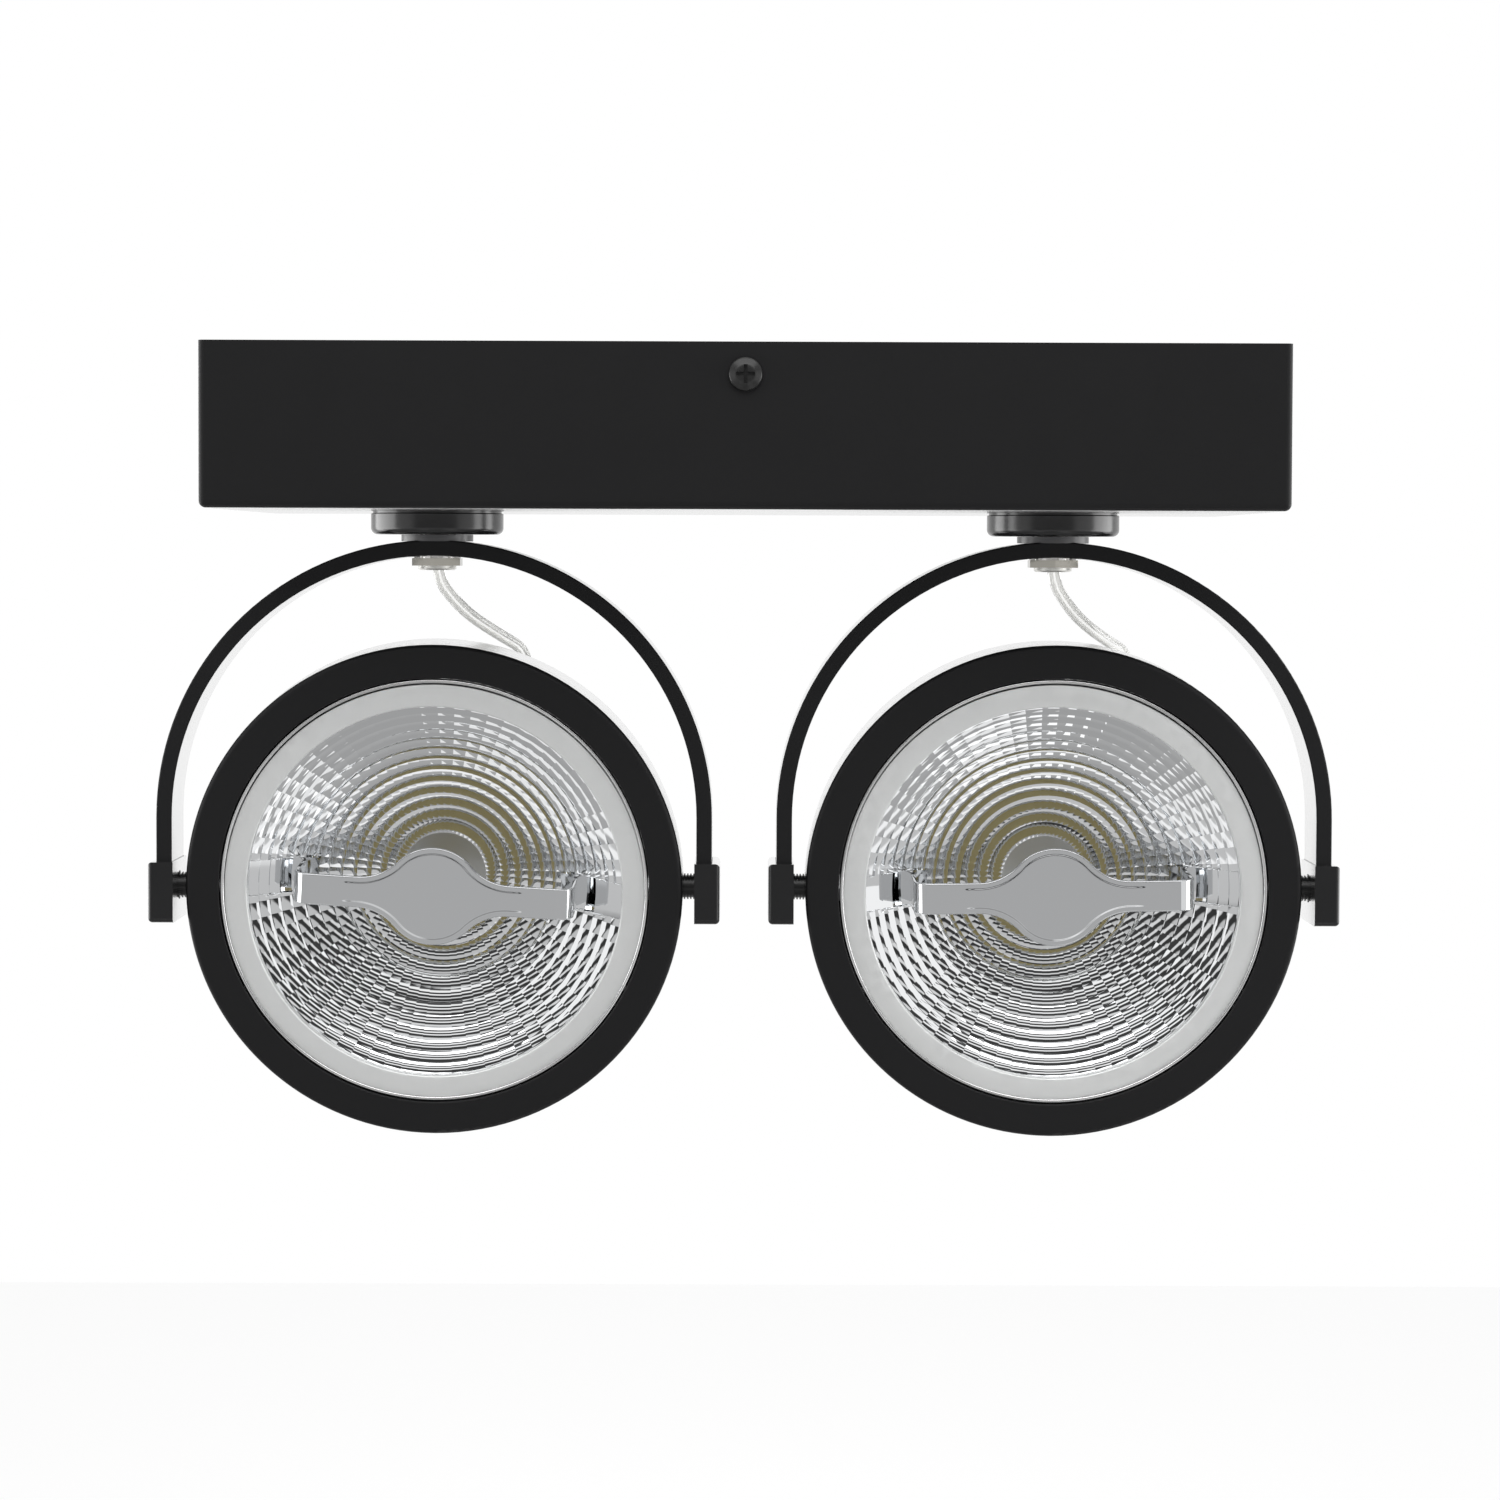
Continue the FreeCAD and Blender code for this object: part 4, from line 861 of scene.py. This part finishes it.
def world():
    """White for the camera, even light for surfaces. Mirrors see white behind the object and the
    bright and dark bands of the room in front of it."""
    studio = bpy.data.worlds.new("studio")
    bpy.context.scene.world = studio
    studio.use_nodes = True
    tree = studio.node_tree
    nodes = tree.nodes
    links = tree.links
    place = nodes.new("ShaderNodeTexCoord")
    split = nodes.new("ShaderNodeSeparateXYZ")
    links.new(place.outputs["Generated"], split.inputs["Vector"])
    room = ramp(tree, ROOM_LEVELS)
    links.new(map_range(tree, split.outputs["Z"], -1, 1), room.inputs["Fac"])
    shade = nodes.new("ShaderNodeRGBToBW")
    links.new(room.outputs["Color"], shade.inputs["Color"])
    behind = map_range(tree, split.outputs["Y"], -WHITE_EDGE, WHITE_EDGE,
                       interpolation="SMOOTHSTEP")
    level = nodes.new("ShaderNodeMix")
    level.data_type = "FLOAT"
    links.new(behind, level.inputs[0])
    links.new(shade.outputs["Val"], level.inputs[2])
    level.inputs[3].default_value = 1.0
    reflected = nodes.new("ShaderNodeBackground")
    links.new(level.outputs[0], reflected.inputs["Color"])
    even = nodes["Background"]
    even.inputs["Color"].default_value = (1, 1, 1, 1)
    even.inputs["Strength"].default_value = AMBIENT
    white = nodes.new("ShaderNodeBackground")
    white.inputs["Color"].default_value = (1, 1, 1, 1)
    by_ray(tree, "World Output", direct=white.outputs["Background"],
           mirrored=reflected.outputs["Background"], other=even.outputs["Background"])


def towards(azimuth, elevation):
    """The direction of an azimuth that is 0 at the camera and 90 at the right."""
    turn = math.radians(azimuth)
    lift = math.radians(elevation)
    return Vector((math.sin(turn) * math.cos(lift), -math.cos(turn) * math.cos(lift),
                   math.sin(lift)))


def softbox(name, azimuth, elevation, width, height, strength):
    """A softbox in this direction, with a strength of 1 as bright as white."""
    outward = towards(azimuth, elevation)
    data = bpy.data.lights.new(name, "AREA")
    data.shape = "RECTANGLE"
    data.size = width
    data.size_y = height
    data.energy = strength * math.pi * width * height
    light = bpy.data.objects.new(name, data)
    light.location = STUDIO_CENTRE + outward * SOFTBOX_DISTANCE
    light.rotation_euler = (-outward).to_track_quat("-Z", "Y").to_euler()
    bpy.context.scene.collection.objects.link(light)


def card(name, azimuth, elevation, distance, width, height, strength):
    """A white card that only shows in mirrors."""
    outward = towards(azimuth, elevation)
    turn = (-outward).to_track_quat("-Z", "Y").to_matrix().to_4x4()
    place = Matrix.Translation(STUDIO_CENTRE + outward * distance) @ turn
    material = bpy.data.materials.new(name)
    material.use_nodes = True
    tree = material.node_tree
    path = tree.nodes.new("ShaderNodeLightPath")
    unseen = tree.nodes.new("ShaderNodeBsdfTransparent")
    white = tree.nodes.new("ShaderNodeEmission")
    white.inputs["Strength"].default_value = strength
    mix = tree.nodes.new("ShaderNodeMixShader")
    tree.links.new(path.outputs["Is Glossy Ray"], mix.inputs["Fac"])
    tree.links.new(unseen.outputs["BSDF"], mix.inputs[1])
    tree.links.new(white.outputs["Emission"], mix.inputs[2])
    tree.links.new(mix.outputs["Shader"], tree.nodes["Material Output"].inputs["Surface"])
    stage_panel(name, placed(place, [(x * width / 2, y * height / 2, 0)
                                     for x, y in ((-1, -1), (1, -1), (1, 1), (-1, 1))]), material)


def set_camera():
    pitch = math.radians(CAMERA_PITCH)
    yaw = math.radians(CAMERA_YAW)
    roll = math.radians(CAMERA_ROLL)
    ahead = Vector((math.sin(yaw) * math.cos(pitch), math.cos(yaw) * math.cos(pitch),
                    math.sin(pitch)))
    level = Vector((math.cos(yaw), -math.sin(yaw), 0))
    upright = level.cross(ahead)
    right = level * math.cos(roll) + upright * math.sin(roll)
    up = upright * math.cos(roll) - level * math.sin(roll)
    data = bpy.data.cameras.new("photo_camera")
    data.sensor_width = SENSOR
    data.lens = FOCAL_PIXELS / FRAME_PIXELS * SENSOR
    data.shift_y = (CENTRE_ROW - FRAME_PIXELS / 2) / FRAME_PIXELS
    data.clip_start = CLIP_START
    camera = bpy.data.objects.new("photo_camera", data)
    turn = Matrix((right, up, -ahead)).transposed().to_4x4()
    camera.matrix_world = Matrix.Translation(CAMERA_PLACE) @ turn
    bpy.context.scene.collection.objects.link(camera)
    bpy.context.scene.camera = camera


finish_nodes()
for side in SIDES:
    reflector(side)
    reflector_floor(side)
    lamp_ring(side)
    wire_ring(side)
    bridge(side)
    link_cable(side)
floor()
world()
for name, values in SOFTBOXES.items():
    softbox(name, *values)
for name, values in CARDS.items():
    card(name, *values)
set_camera()
bpy.context.scene.view_settings.view_transform = "Standard"
